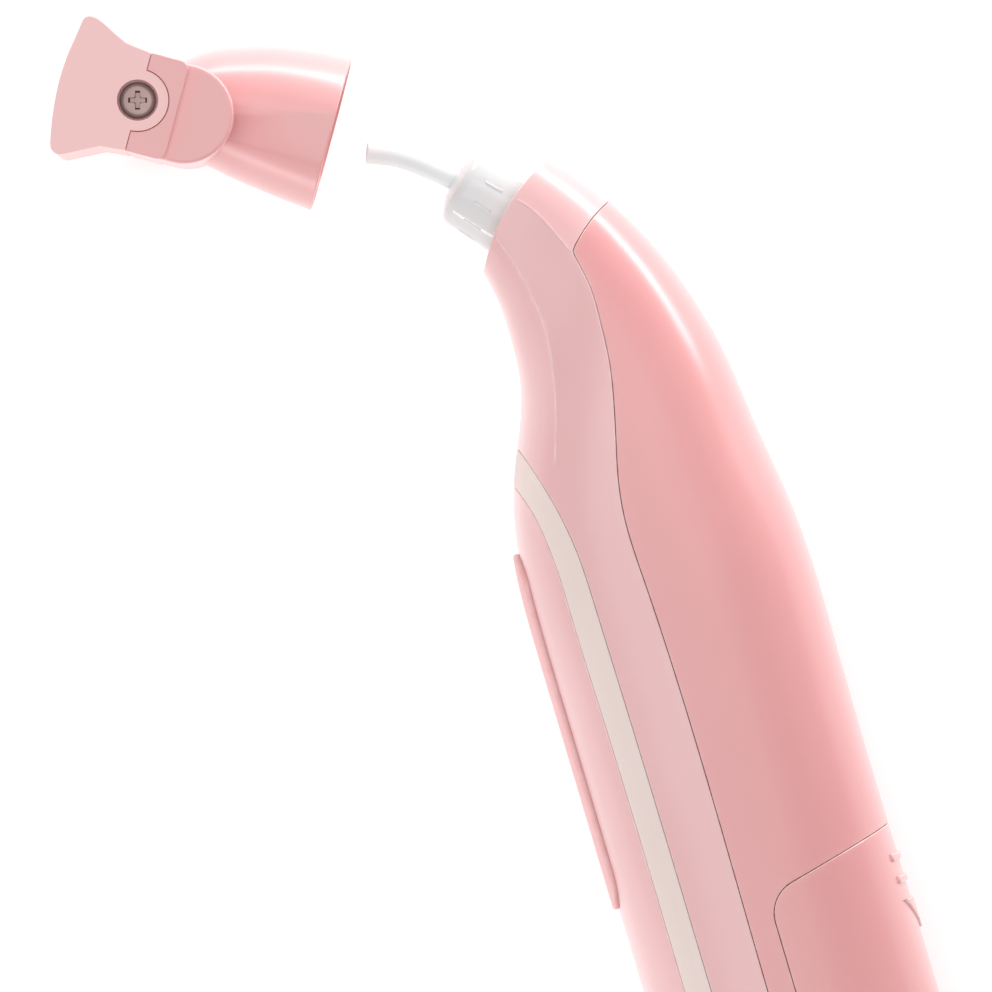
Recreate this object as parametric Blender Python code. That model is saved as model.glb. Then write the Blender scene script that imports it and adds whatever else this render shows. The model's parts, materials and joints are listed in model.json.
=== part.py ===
"""Handheld garment steamer, with its head pulled off the neck.

The device lies on its side. The sizes below are millimetres in the design frame: X runs from the
front (-) to the back (+) of the handle, Y up the handle from its base, Z across its width, with the
mirror plane at Z = 0. Vertices are scaled to metres, and the whole is moved at the end, so that the
origin is the middle of the bounding box's underside.
"""

import math
from typing import NamedTuple

import bmesh
import bpy
import numpy as np
from mathutils import Matrix, Vector

MM = 0.001
GAP = 0.3                      # gap between fitted pieces
HALF_GAP = GAP / 2
RUNNING = 0.1                  # radial clearance of a moving pin
FAR = 60.0                     # reach of a cutter that passes right through

# handle: front point, back point and half width of each station, from the rim down to the base
HANDLE_HALF_WIDTH = 22.0
RIM_HALF_WIDTH = 12.0
FRONT_X = -24.9
BACK_X = 24.4
STATIONS = [
    ((-16.1, 177.6), (0.8, 193.4), RIM_HALF_WIDTH),
    ((-15.0, 171.5), (6.0, 187.0), RIM_HALF_WIDTH + 1.3),
    ((-14.8, 165.0), (11.0, 178.9), RIM_HALF_WIDTH + 2.9),
    ((-15.2, 158.5), (15.0, 170.5), HANDLE_HALF_WIDTH - 5.5),
    ((-17.1, 151.3), (18.2, 161.0), HANDLE_HALF_WIDTH - 4.0),
    ((-20.6, 143.0), (20.4, 151.0), HANDLE_HALF_WIDTH - 2.6),
    ((-23.3, 134.0), (21.8, 139.0), HANDLE_HALF_WIDTH - 1.5),
    ((-24.6, 124.5), (23.5, 127.0), HANDLE_HALF_WIDTH - 0.7),
    ((FRONT_X, 115.0), (BACK_X, 116.0), HANDLE_HALF_WIDTH - 0.2),
    ((FRONT_X, 95.0), (BACK_X, 95.0), HANDLE_HALF_WIDTH),
    ((FRONT_X, 48.0), (BACK_X, 48.0), HANDLE_HALF_WIDTH),
    ((FRONT_X, 0.0), (BACK_X, 0.0), HANDLE_HALF_WIDTH),
]
SECTION_CORNER = 0.03          # how much fuller than an ellipse every section is
SECTION_POINTS = 32
RINGS_PER_STATION = 2
RIM_BULGE = 2.0                # how far the rim's sides rise above its front and back corners
REAR_WALL = 2.0
SKIN_WALL = 1.2                # trim strip and front panel
FRONT_WALL = SKIN_WALL + GAP + 1.4

# seam between front and rear shell, and the trim strip's edges, seen from the side
SEAM = [(12.0, 184.8), (8.3, 182.9), (5.7, 181.7), (3.0, 179.6), (0.4, 177.4), (-0.2, 175.8),
        (0.4, 172.7), (0.9, 169.0), (0.8, 163.0), (0.4, 156.8), (-0.8, 149.9), (-2.4, 143.1),
        (-4.0, 136.3), (-4.9, 128.4), (-4.7, 119.0), (-4.3, 108.0), (-4.3, 50.0), (-4.3, -6.0)]
TRIM_OUTER = [(-22.5, 157.0), (-19.0, 146.0), (-17.0, 139.6), (-15.4, 133.0), (-14.4, 125.8),
              (-14.1, 117.0), (-13.9, 100.0), (-13.7, 50.0), (-13.7, -6.0)]
TRIM_WIDTH = 4.4
TRIM_INNER = [(-24.6, 149.0), (-21.6, 140.3), (-20.0, 135.6), (-18.9, 128.9), (-18.5, 122.5)]

# trigger: a long pad in a slot of the front panel, hinged on a pin near its top
TRIGGER_TOP = 129.3
TRIGGER_BOTTOM = 64.3
TRIGGER_HALF_WIDTH = 7.2
TRIGGER_PROUD = 0.9
TRIGGER_DEPTH = 2.2            # how far the pad reaches below the front panel's surface
TRIGGER_PIN = (-18.4, 124.6)
PIN_RADIUS = 1.0
EAR_RADIUS = 2.3
EAR_HALF_WIDTH = 4.2
PRESS_Y = 97.0                 # where the trigger's rib meets the plunger
RIB_HALF = 1.2

# tank cover: its slanted top edge, rounded corner and straight front edge
TANK_EDGE_X = 0.3
TANK_CORNER = (0.3, 60.2)
TANK_TOP_AT_BACK = (24.2, 65.9)
TANK_CORNER_RADIUS = 6.0
TANK_WALL = 1.5
TANK_FRONT_X = TANK_EDGE_X + 2.0
TANK_TOP = 56.5
GRIP_BARS_Y = (60.7, 56.7)
GRIP_BAR_HEIGHT = 1.3
GRIP_PROUD = 0.7
GRIP_HALF_WIDTH = 7.5
ARROW_TOP = 52.5
ARROW_TIP = 46.9
SPIGOT_X = 7.0
SPIGOT_RADIUS = 2.4
DOCK_RADIUS = 4.2
FILLER_X = 17.0
FILLER_RADIUS = 3.4

# neck axis, collar and steam hose: distances up the neck are measured from the rim's chord
RIM_CENTRE = (-7.65, 185.5)
NECK_ANGLE = math.radians(133.1)
COLLAR_FOOT = -4.6
COLLAR_SHOULDER = 1.6
COLLAR_RIM_RADIUS = 8.0
COLLAR_END = 10.6
COLLAR_TAPER = 0.5
COLLAR_END_RADIUS = COLLAR_RIM_RADIUS - COLLAR_TAPER
COLLAR_DOME = 2.1
COLLAR_GROOVE_DEPTH = 1.0
COLLAR_GROOVE_RADIUS = COLLAR_RIM_RADIUS - COLLAR_GROOVE_DEPTH
SEAL_U = (-3.2, -1.8)
SEAL_RADIUS = 8.2
HOSE_RADIUS = 1.85
HOSE_BORE = 1.0
HOSE_PATH = [(2.5, 158.3), (3.3, 164.0), (2.6, 170.5), (-0.9, 177.8), (-7.65, 185.5), (-12.4, 190.6),
             (-16.6, 194.6), (-19.0, 196.7), (-22.0, 199.2), (-25.5, 201.4), (-29.3, 203.0)]

# head: distances along its own axis (u, from the mouth), across it (v) and over its width (w)
MOUTH_CENTRE = (-34.55, 207.95)
HEAD_ANGLE = math.radians(148.5)
CONE = [(0.0, 13.65, -13.65, 14.2), (5.0, 13.4, -13.15, 14.0), (10.0, 12.85, -12.5, 13.6),
        (15.0, 11.85, -11.7, 13.2), (20.0, 10.3, -10.8, 13.0), (25.0, 8.1, -10.9, 13.0),
        (29.0, 5.0, -11.6, 13.0)]
CONE_WALL = 1.4
LIP_WALL = 0.65
LIP_DEPTH = 2.2
BAR_TOP = 5.15
BAR_BOTTOM = -12.35
BAR_BACK = 16.6                # where the bar's rounded back reaches
BAR_STEP = 0.15                # how far the bar's sides lie inside the knuckle's
BAR_HALF_LENGTH = 20.7
STEP_U = 26.4                  # the bar steps out to the knuckle here
KNUCKLE_HALF_LENGTH = 22.0
SEAM_U = 33.25
BOSS_CENTRE = (33.45, -3.4)
BOSS_RADIUS = 5.4
BOSS_DEPTH = 3.2
PLENUM = (25.0, 3.05, -10.25, 14.6)
NOZZLE_OUTLINE = [(37.75, 5.65), (40.55, 6.95), (43.15, 8.25), (44.95, 8.55), (45.85, 8.15),
                  (46.25, 6.85), (47.05, 1.45), (47.35, -3.55), (47.05, -8.55), (46.15, -14.15),
                  (45.55, -15.55), (44.65, -15.95), (42.75, -15.35), (40.45, -14.15), (37.75, -12.75)]
NOZZLE_WALL = 2.0
PLATE_U = (43.45, 44.85)
PLATE_TOP = 6.05
PLATE_BOTTOM = -13.35
PLATE_SLOT = (0.6, 1.5)        # half sizes of a steam slot
SCREW_HEAD_RADIUS = 3.15
SCREW_RECESS_RADIUS = 3.5
SCREW_HEAD_HEIGHT = 1.3
SCREW_RECESS_DEPTH = 1.8
SHANK_RADIUS = 1.4
SOCKET_RADIUS = 5.0
SOCKET_BORE = 3.3
SOCKET_V = -3.05
SOCKET_TILT = math.radians(-13.4)

# the head's stand-in hinge: the centre of the arc on which it leaves the neck
HEAD_ARC_CENTRE = (-103.0, 96.3)

# inside the handle
BASE_CAP_HEIGHT = 3.0
GLAND_X = -12.5
GLAND_RADIUS = 4.2
CABLE_RADIUS = 3.3
BASE_SCREW_X = -10.4
BASE_SCREW_Z = 12.5
LUG_SIZE = 3.0                 # half the width of a base screw's lug
LUG_TOP = 12.0
CHASSIS_X = -8.2
CHASSIS_THICKNESS = 2.0
CHASSIS_Y = (66.0, 121.0)
BRACKET_X = -10.1
BRACKET_Y = (88.0, 128.6)
BRACKET_WIDTH_SHARE = 0.409
BRACKET_HALF_WIDTH = HANDLE_HALF_WIDTH * BRACKET_WIDTH_SHARE
BRACKET_SCREWS_Y = (91.0, 118.5)
PLUNGER_X = (-19.4, -14.0)
PLUNGER_RADIUS = 1.0
SWITCH_X = (-17.9, BRACKET_X - GAP)
SPRING_Y = 111.0
BOILER_X = 2.5
BOILER_Y = (131.0, 155.0)
BOILER_RADIUS = 10.5
JACKET_WALL = 2.0
PUMP_X = SPIGOT_X               # the inlet hose runs straight up from the dock
PUMP_Y = (72.0, 103.0)
PUMP_RADIUS = 8.0
FEED_RADIUS = 1.8
FEED_BORE = 0.9

# finishes: sRGB colour (0 to 255), roughness, metallic
PINK_FRONT = ((235, 195, 196), 0.35, 0.0)
PINK_REAR = ((224, 163, 164), 0.35, 0.0)
PINK_HEAD = ((229, 170, 171), 0.38, 0.0)
PINK_TRIGGER = ((236, 178, 178), 0.4, 0.0)
BEIGE_TRIM = ((229, 210, 205), 0.45, 0.0)
WHITE_GLOSS = ((228, 230, 230), 0.2, 0.0)
WHITE_PLASTIC = ((215, 214, 210), 0.5, 0.0)
SILICONE = ((240, 240, 238), 0.4, 0.0)
RUBBER = ((120, 116, 116), 0.8, 0.0)
TANK_CLEAR = ((222, 226, 228), 0.15, 0.0)
ALUMINIUM = ((190, 192, 195), 0.4, 1.0)
STEEL = ((151, 130, 128), 0.35, 1.0)
BLACK_PLASTIC = ((45, 45, 48), 0.5, 0.0)
BOARD_GREEN = ((40, 96, 66), 0.5, 0.0)


class Frame(NamedTuple):
    """A place to build in: an origin and three directions, in the design frame."""

    origin: Vector
    u: Vector
    v: Vector
    w: Vector

    def at(self, u, v, w=0.0):
        """Return the design point at these three distances, in mm."""
        return self.origin + self.u * u + self.v * v + self.w * w


def flat_frame(centre, angle):
    """Return a frame at a point of the mirror plane, with u at this angle and w across."""
    along = Vector((math.cos(angle), math.sin(angle), 0.0))
    across = Vector((math.sin(angle), -math.cos(angle), 0.0))
    return Frame(Vector((centre[0], centre[1], 0.0)), along, across, Vector((0.0, 0.0, 1.0)))


DESIGN = Frame(Vector((0, 0, 0)), Vector((1, 0, 0)), Vector((0, 1, 0)), Vector((0, 0, 1)))
NECK = flat_frame(RIM_CENTRE, NECK_ANGLE)
HEAD = flat_frame(MOUTH_CENTRE, HEAD_ANGLE)


# ---------------------------------------------------------------- shapes

def new_object(name, points, faces):
    """Make a mesh object from design points, with its faces turned outwards."""
    mesh = bpy.data.meshes.new(name)
    mesh.from_pydata([Vector(point) * MM for point in points], [], faces)
    work = bmesh.new()
    work.from_mesh(mesh)
    bmesh.ops.recalc_face_normals(work, faces=work.faces)
    if work.calc_volume(signed=True) < 0:
        bmesh.ops.reverse_faces(work, faces=work.faces)
    work.to_mesh(mesh)
    work.free()
    made = bpy.data.objects.new(name, mesh)
    bpy.context.scene.collection.objects.link(made)
    return made


def loft(name, rings, closed=False):
    """Skin a row of rings, and cap both ends unless the row closes on itself."""
    count = len(rings[0])
    points = [point for ring in rings for point in ring]
    rows = len(rings) if closed else len(rings) - 1
    faces = []
    for row in range(rows):
        here = row * count
        there = ((row + 1) % len(rings)) * count
        for i in range(count):
            j = (i + 1) % count
            faces.append((here + i, here + j, there + j, there + i))
    if not closed:
        faces.append(tuple(range(count)))
        faces.append(tuple(range((len(rings) - 1) * count, len(rings) * count)))
    return new_object(name, points, faces)


def prism(name, outline, low, high, frame=DESIGN):
    """Extrude an outline in the frame's u and v along w, from low to high."""
    return loft(name, [[frame.at(a, b, level) for a, b in outline] for level in (low, high)])


def box(name, u, v, w, frame=DESIGN):
    """Make a box from three (low, high) pairs."""
    return prism(name, [(u[0], v[0]), (u[1], v[0]), (u[1], v[1]), (u[0], v[1])], w[0], w[1], frame)


def turned(name, profile, frame, closed=False, sides=24):
    """Revolve (distance along u, radius) pairs about the frame's u axis."""
    rings = []
    for along, radius in profile:
        angles = [2 * math.pi * i / sides for i in range(sides)]
        rings.append([frame.at(along, radius * math.cos(a), radius * math.sin(a)) for a in angles])
    return loft(name, rings, closed)


def rod(name, radius, low, high, frame, sides=20):
    """Make a plain round bar along the frame's u axis."""
    return turned(name, [(low, radius), (high, radius)], frame, sides=sides)


def ring(name, inner, outer, low, high, frame, sides=24):
    """Make a plain round ring about the frame's u axis."""
    return turned(name, [(low, outer), (high, outer), (high, inner), (low, inner)], frame, True, sides)


def swept(name, path, radius, bore=0.0, sides=12):
    """Sweep a circle along a path, as a solid cord or as an open tube."""
    points = [Vector(point) for point in path]
    side = Vector((0.0, 0.0, 1.0))
    outer, inner = [], []
    for i, point in enumerate(points):
        ahead = (points[min(i + 1, len(points) - 1)] - points[max(i - 1, 0)]).normalized()
        side = (side - ahead * side.dot(ahead)).normalized()
        across = ahead.cross(side)
        for rings, size in ((outer, radius), (inner, bore)):
            angles = [2 * math.pi * k / sides for k in range(sides)]
            rings.append([point + (side * math.cos(a) + across * math.sin(a)) * size for a in angles])
    if bore:
        return loft(name, outer + inner[::-1], closed=True)
    return loft(name, outer)


def smooth(points, steps):
    """Run a smooth curve through points, with this many steps between two of them."""
    data = np.array(points, dtype=float)
    padded = np.vstack([2 * data[0] - data[1], data, 2 * data[-1] - data[-2]])
    result = []
    for i in range(len(data) - 1):
        before, start, end, after = padded[i:i + 4]
        for t in np.arange(steps) / steps:
            result.append(0.5 * (2 * start + (end - before) * t
                                 + (2 * before - 5 * start + 4 * end - after) * t ** 2
                                 + (3 * start - before - 3 * end + after) * t ** 3))
    result.append(data[-1])
    return [tuple(float(value) for value in point) for point in result]


def shifted(points, distance):
    """Move an open line sideways, to its left for a positive distance."""
    data = np.array(points, dtype=float)
    along = np.gradient(data, axis=0)
    along /= np.linalg.norm(along, axis=1)[:, None]
    left = np.stack([-along[:, 1], along[:, 0]], axis=1)
    return [tuple(point) for point in data + left * distance]


def arc(centre, radius, start, end, steps):
    """Return points on an arc, with its angles in degrees."""
    angles = np.radians(np.linspace(start, end, steps + 1))
    return [(centre[0] + radius * math.cos(a), centre[1] + radius * math.sin(a)) for a in angles]


def combine(target, tool, operation):
    """Change the target by the tool with an exact Boolean, and remove the tool."""
    change = target.modifiers.new("change", "BOOLEAN")
    change.operation = operation
    change.solver = "EXACT"
    change.object = tool
    graph = bpy.context.evaluated_depsgraph_get()
    graph.update()
    result = bpy.data.meshes.new_from_object(target.evaluated_get(graph))
    target.modifiers.clear()
    target.data = result
    bpy.data.objects.remove(tool)
    return target


def cut(target, *tools):
    """Take the tools away from the target."""
    for tool in tools:
        combine(target, tool, "DIFFERENCE")
    return target


def keep(target, *tools):
    """Keep only what lies inside each tool."""
    for tool in tools:
        combine(target, tool, "INTERSECT")
    return target


def join(target, *tools):
    """Add the tools to the target as one body."""
    for tool in tools:
        combine(target, tool, "UNION")
    return target


# ---------------------------------------------------------------- the handle's outer form

def handle_rings(inset, beyond):
    """Return the handle's sections, moved in by inset and run past both ends by beyond."""
    rows = [front + back + (width,) for front, back, width in STATIONS]
    rings = []
    for index, row in enumerate(smooth(rows, RINGS_PER_STATION)):
        front = Vector((row[0], row[1], 0.0))
        back = Vector((row[2], row[3], 0.0))
        middle = (front + back) / 2
        along = (back - front).normalized()
        depth = (back - front).length / 2 - inset
        width = row[4] - inset
        rise = RIM_BULGE * max(0.0, 1 - index / (2 * RINGS_PER_STATION))
        points = []
        for i in range(SECTION_POINTS):
            angle = 2 * math.pi * i / SECTION_POINTS
            share = (1 + SECTION_CORNER) * math.cos(angle) - SECTION_CORNER * math.cos(3 * angle)
            side = (1 + SECTION_CORNER) * math.sin(angle) + SECTION_CORNER * math.sin(3 * angle)
            bulge = NECK.u * (rise * (1 - share ** 2))
            points.append(middle + along * (depth * share) + Vector((0, 0, width * side)) + bulge)
        rings.append(points)
    if beyond:
        rings.insert(0, [point + NECK.u * beyond for point in rings[0]])
        rings.append([point - Vector((0, beyond, 0)) for point in rings[-1]])
    return rings


def handle_solid(name, inset=0.0, beyond=0.0):
    """Make the handle's form as one solid."""
    return loft(name, handle_rings(inset, beyond))


def handle_skin(name, wall):
    """Make the handle's skin, open at the rim and at the base."""
    return cut(handle_solid(name), handle_solid("inside", wall, 5.0))


def seam_region(name, front, gap=HALF_GAP):
    """Make the block that holds everything in front of, or behind, the shells' seam."""
    side = FAR if not front else -FAR
    line = shifted(smooth(SEAM, 2), gap if not front else -gap)
    corners = [(side, line[-1][1]), (side, 260.0)]
    if front:
        corners.append((FAR, 260.0))
        corners.append((FAR, line[0][1]))
    return prism(name, line + corners, -FAR, FAR)


def trim_inner_line():
    """Return the trim strip's inner edge: its curved top, then parallel to the outer edge."""
    straight = [(x - TRIM_WIDTH, y) for x, y in TRIM_OUTER[5:]]
    return smooth(TRIM_INNER + straight, 3)


def trim_region(name):
    """Make the block between the trim strip's two edges, less the gap on each side."""
    outer = shifted(smooth(TRIM_OUTER, 3), -HALF_GAP)
    inner = shifted(trim_inner_line(), HALF_GAP)
    return prism(name, outer + inner[::-1], -FAR, FAR)


def front_region(name, line, gap):
    """Make the block in front of a line seen from the side."""
    edge = shifted(line, -gap)
    return prism(name, edge + [(-FAR, edge[-1][1]), (-FAR, edge[0][1])], -FAR, FAR)


def slot(name, grow):
    """Make the trigger's round-ended slot through the handle's front, grown all round."""
    radius = TRIGGER_HALF_WIDTH + grow
    top = TRIGGER_TOP - TRIGGER_HALF_WIDTH
    bottom = TRIGGER_BOTTOM + TRIGGER_HALF_WIDTH
    outline = arc((0, top), radius, 180, 0, 12) + arc((0, bottom), radius, 0, -180, 12)
    facing = Frame(Vector((0, 0, 0)), Vector((0, 0, 1)), Vector((0, 1, 0)), Vector((1, 0, 0)))
    return prism(name, outline, -FAR, FRONT_X + 12.0, facing)


def tank_region(name, gap):
    """Make the block behind the tank cover's seam, grown by the gap, or shrunk by a negative one."""
    slope = math.atan2(TANK_TOP_AT_BACK[1] - TANK_CORNER[1], TANK_TOP_AT_BACK[0] - TANK_CORNER[0])
    radius = TANK_CORNER_RADIUS + gap
    centre_x = TANK_EDGE_X + TANK_CORNER_RADIUS
    below = TANK_CORNER_RADIUS / math.cos(slope)
    centre_y = TANK_CORNER[1] + TANK_CORNER_RADIUS * math.tan(slope) - below
    corner = arc((centre_x, centre_y), radius, 90 + math.degrees(slope), 180, 8)
    rise = (FAR - corner[0][0]) * math.tan(slope)
    outline = [(FAR, -6.0), (FAR, corner[0][1] + rise)] + corner + [(TANK_EDGE_X - gap, -6.0)]
    return prism(name, outline, -FAR, FAR)


# ---------------------------------------------------------------- handle pieces

def front_shell():
    """Front shell and rim, with a shallow bed for the trim and panel and lugs for the base screws."""
    shell = keep(handle_skin("front_shell", FRONT_WALL), seam_region("front", True))
    bed = cut(handle_solid("bed", -1.0, 5.0), handle_solid("floor", SKIN_WALL + GAP, 10.0))
    keep(bed, front_region("bed_area", smooth(TRIM_OUTER, 3), 0.0))
    cut(shell, bed, slot("window", HALF_GAP))
    inner_face = HANDLE_HALF_WIDTH - FRONT_WALL
    for side in (-1, 1):
        across = sorted((side * (BASE_SCREW_Z - LUG_SIZE), side * (inner_face - 0.8)))
        along = (BASE_SCREW_X - LUG_SIZE, BASE_SCREW_X + LUG_SIZE)
        join(shell, box("lug", along, (BASE_CAP_HEIGHT + GAP, LUG_TOP), across))
        cut(shell, rod("thread", SHANK_RADIUS + GAP, -1.0, LUG_TOP - 2.0, base_screw_frame(side)))
    return shell


def rear_shell():
    """Rear shell, cut away at the lower back for the tank cover."""
    shell = keep(handle_skin("rear_shell", REAR_WALL), seam_region("rear", False))
    return cut(shell, tank_region("opening", HALF_GAP))


def trim_arch():
    """Satin strip that runs up one flank, over the front and down the other."""
    return keep(handle_skin("trim_arch", SKIN_WALL), trim_region("strip"))


def front_panel():
    """Panel inside the arch, with the trigger's slot."""
    inside = front_region("inside_arch", trim_inner_line(), HALF_GAP)
    return cut(keep(handle_skin("front_panel", SKIN_WALL), inside), slot("trigger_slot", 0.0))


def trigger():
    """Trigger pad with its hinge ears and the rib that meets the plunger."""
    pad = cut(handle_solid("trigger", -TRIGGER_PROUD), handle_solid("back_of_pad", TRIGGER_DEPTH, 5.0))
    keep(pad, slot("pad_outline", -GAP - HALF_GAP))
    pin_x, pin_y = TRIGGER_PIN
    back = FRONT_X + TRIGGER_DEPTH
    ear = [(back - 0.6, pin_y + EAR_RADIUS), (back - 0.6, pin_y - EAR_RADIUS)]
    ear += arc((pin_x, pin_y), EAR_RADIUS, -90, 90, 10)
    join(pad, prism("ear", ear, -EAR_HALF_WIDTH, EAR_HALF_WIDTH))
    rib_y = (PRESS_Y - RIB_HALF, PRESS_Y + RIB_HALF)
    join(pad, box("rib", (back - 0.6, PLUNGER_X[0] - GAP), rib_y, (-2.0, 2.0)))
    return cut(pad, rod("pin_hole", PIN_RADIUS + RUNNING, -FAR, FAR, pin_frame()))


def pin_frame():
    """Return the frame on the trigger's hinge axis."""
    return Frame(Vector((TRIGGER_PIN[0], TRIGGER_PIN[1], 0)), DESIGN.w, DESIGN.u, DESIGN.v)


def trigger_pin():
    """Steel pin that the trigger turns on."""
    return rod("trigger_pin", PIN_RADIUS, -EAR_HALF_WIDTH - 3.2, EAR_HALF_WIDTH + 3.2, pin_frame())


def trigger_bracket():
    """Bracket behind the trigger, with a cheek on each side to hold the pin."""
    cheek_low = EAR_HALF_WIDTH + GAP
    plate = box("trigger_bracket", (BRACKET_X, CHASSIS_X - GAP), BRACKET_Y,
                (-BRACKET_HALF_WIDTH, BRACKET_HALF_WIDTH))
    pin_x, pin_y = TRIGGER_PIN
    for side in (-1, 1):
        across = sorted((side * cheek_low, side * (cheek_low + 2.0)))
        join(plate, box("cheek", (pin_x - 2.0, BRACKET_X + 0.5), (pin_y - 2.4, pin_y + 2.6), across))
    cut(plate, rod("pin_seat", PIN_RADIUS + RUNNING, -FAR, FAR, pin_frame()))
    for level in BRACKET_SCREWS_Y:
        cut(plate, rod("hole", SHANK_RADIUS + GAP, -20.0, 0.0, across_frame(0.0, level)))
    return plate


def across_frame(x, y, z=0.0):
    """Return a frame whose u axis runs along +X from this point."""
    return Frame(Vector((x, y, z)), DESIGN.u, DESIGN.v, DESIGN.w)


def upward_frame(x, y, z=0.0):
    """Return a frame whose u axis runs along +Y from this point."""
    return Frame(Vector((x, y, z)), DESIGN.v, DESIGN.w, DESIGN.u)


def bracket_screw(index, level):
    """Small screw that fixes the bracket to the chassis."""
    place = across_frame(BRACKET_X - GAP, level)
    profile = [(-1.4, 2.4), (0.0, 2.4), (0.0, SHANK_RADIUS), (5.4, SHANK_RADIUS)]
    return turned(f"bracket_screw_{index}", profile, place, sides=16)


def micro_switch():
    """Switch body behind the trigger's rib, with the plunger's bore."""
    body = box("micro_switch", SWITCH_X, (PRESS_Y - 3.4, PRESS_Y + 9.4), (-3.2, 3.2))
    bore = rod("bore", PLUNGER_RADIUS + RUNNING, -30.0, PLUNGER_X[1] + 1.3, across_frame(0.0, PRESS_Y), 16)
    return cut(body, bore)


def switch_plunger():
    """Plunger that the trigger pushes into the switch."""
    return rod("switch_plunger", PLUNGER_RADIUS, *PLUNGER_X, across_frame(0.0, PRESS_Y), 16)


def trigger_spring():
    """Compression spring between the bracket and the trigger pad."""
    turns, steps, radius, wire = 5, 10, 2.4, 0.3
    low = FRONT_X + TRIGGER_DEPTH + GAP + wire
    high = BRACKET_X - GAP - wire
    path = []
    for i in range(turns * steps + 1):
        angle = 2 * math.pi * i / steps
        along = low + (high - low) * i / (turns * steps)
        path.append((along, SPRING_Y + radius * math.cos(angle), radius * math.sin(angle)))
    return swept("trigger_spring", path, wire, sides=5)


def chassis():
    """Plate that carries the bracket, the pump and the boiler's foot."""
    plate = box("chassis", (CHASSIS_X, CHASSIS_X + CHASSIS_THICKNESS), CHASSIS_Y, (-15.0, 15.0))
    for level in BRACKET_SCREWS_Y:
        cut(plate, rod("hole", SHANK_RADIUS + GAP, -20.0, 0.0, across_frame(0.0, level)))
    return plate


def control_board():
    """Circuit board in front of the tank."""
    board = box("control_board", (-5.6, -4.0), (14.0, 60.0), (-13.0, 13.0))
    join(board, box("relay", (-12.0, -5.4), (38.0, 52.0), (-5.0, 5.0)))
    return join(board, box("capacitor", (-11.0, -5.4), (20.0, 30.0), (-8.0, 2.0)))


def base_cap():
    """Cap that closes the front half of the base, with the gland's hole and two screw recesses."""
    cap = keep(handle_solid("base_cap", FRONT_WALL + GAP),
               box("slab", (-FAR, TANK_FRONT_X - 2 * GAP), (-1.0, BASE_CAP_HEIGHT), (-FAR, FAR)))
    cut(cap, rod("gland_hole", GLAND_RADIUS + GAP, -1.0, 8.0, upward_frame(GLAND_X, 0.0), sides=32))
    for side in (-1, 1):
        place = base_screw_frame(side)
        cut(cap, rod("recess", SCREW_RECESS_RADIUS - 0.6, -1.0, 1.5, place),
            rod("hole", SHANK_RADIUS + GAP, -1.0, 8.0, place))
    return cap


def base_screw_frame(side):
    """Return the frame at a base screw, with u pointing up the handle."""
    return upward_frame(BASE_SCREW_X, 0.0, side * BASE_SCREW_Z)


def base_screw(index, side):
    """Screw that fixes the base cap to the front shell's lug."""
    radius = SCREW_RECESS_RADIUS - 0.6 - GAP
    profile = [(0.2, radius), (1.2, radius), (1.2, SHANK_RADIUS), (9.0, SHANK_RADIUS)]
    return turned(f"base_screw_{index}", profile, base_screw_frame(side), sides=16)


def cord_gland():
    """Rubber bush in the base cap."""
    shoulder, end = BASE_CAP_HEIGHT + GAP, BASE_CAP_HEIGHT + 2.0
    profile = [(0.4, GLAND_RADIUS), (shoulder, GLAND_RADIUS), (shoulder, GLAND_RADIUS + 1.4),
               (end, GLAND_RADIUS + 1.4), (end, CABLE_RADIUS), (0.4, CABLE_RADIUS)]
    return turned("cord_gland", profile, upward_frame(GLAND_X, 0.0), closed=True, sides=32)


def boiler():
    """Aluminium boiler in the upper handle."""
    low, high = BOILER_Y
    place = upward_frame(BOILER_X, 0.0)
    profile = [(low, BOILER_RADIUS), (high, BOILER_RADIUS), (high, 3.0), (high + 3.0, 3.0)]
    return turned("boiler", profile, place, sides=28)


def boiler_jacket():
    """Insulating sleeve round the boiler."""
    low, high = BOILER_Y
    inner = BOILER_RADIUS + GAP
    place = upward_frame(BOILER_X, 0.0)
    return ring("boiler_jacket", inner, inner + JACKET_WALL, low + 1.0, high - 1.0, place, 28)


def thermostat():
    """Thermostat disc under the boiler."""
    low = BOILER_Y[0]
    place = upward_frame(BOILER_X - 3.4, 0.0)
    profile = [(low - 5.0, 3.4), (low - 3.0, 3.4), (low - 3.0, 5.0), (low - GAP, 5.0)]
    return turned("thermostat", profile, place, sides=20)


def pump():
    """Water pump: a round motor on a pump head with two pipe stubs."""
    low, high = PUMP_Y
    place = upward_frame(PUMP_X, 0.0)
    profile = [(low, 6.0), (low + 8.0, 6.0), (low + 8.0, PUMP_RADIUS), (high, PUMP_RADIUS)]
    body = turned("pump", profile, place, sides=24)
    return join(body, rod("inlet", 1.5, low - 3.0, low + 1.0, place, 12))


def tank_dock():
    """Rubber socket that the tank's spigot plugs into."""
    low = TANK_TOP + GAP
    profile = [(low, SPIGOT_RADIUS + GAP), (low, DOCK_RADIUS), (low + 7.0, DOCK_RADIUS),
               (low + 7.0, 1.0), (low + 4.6, 1.0), (low + 4.6, SPIGOT_RADIUS + GAP)]
    return turned("tank_dock", profile, upward_frame(SPIGOT_X, 0.0), closed=True, sides=20)


def inlet_hose():
    """Short hose from the dock to the pump."""
    start = TANK_TOP + GAP + 7.0 + GAP
    end = PUMP_Y[0] - 3.0 - GAP
    return swept("inlet_hose", [(SPIGOT_X, start, 0.0), (PUMP_X, end, 0.0)], FEED_RADIUS, FEED_BORE, 10)


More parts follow.
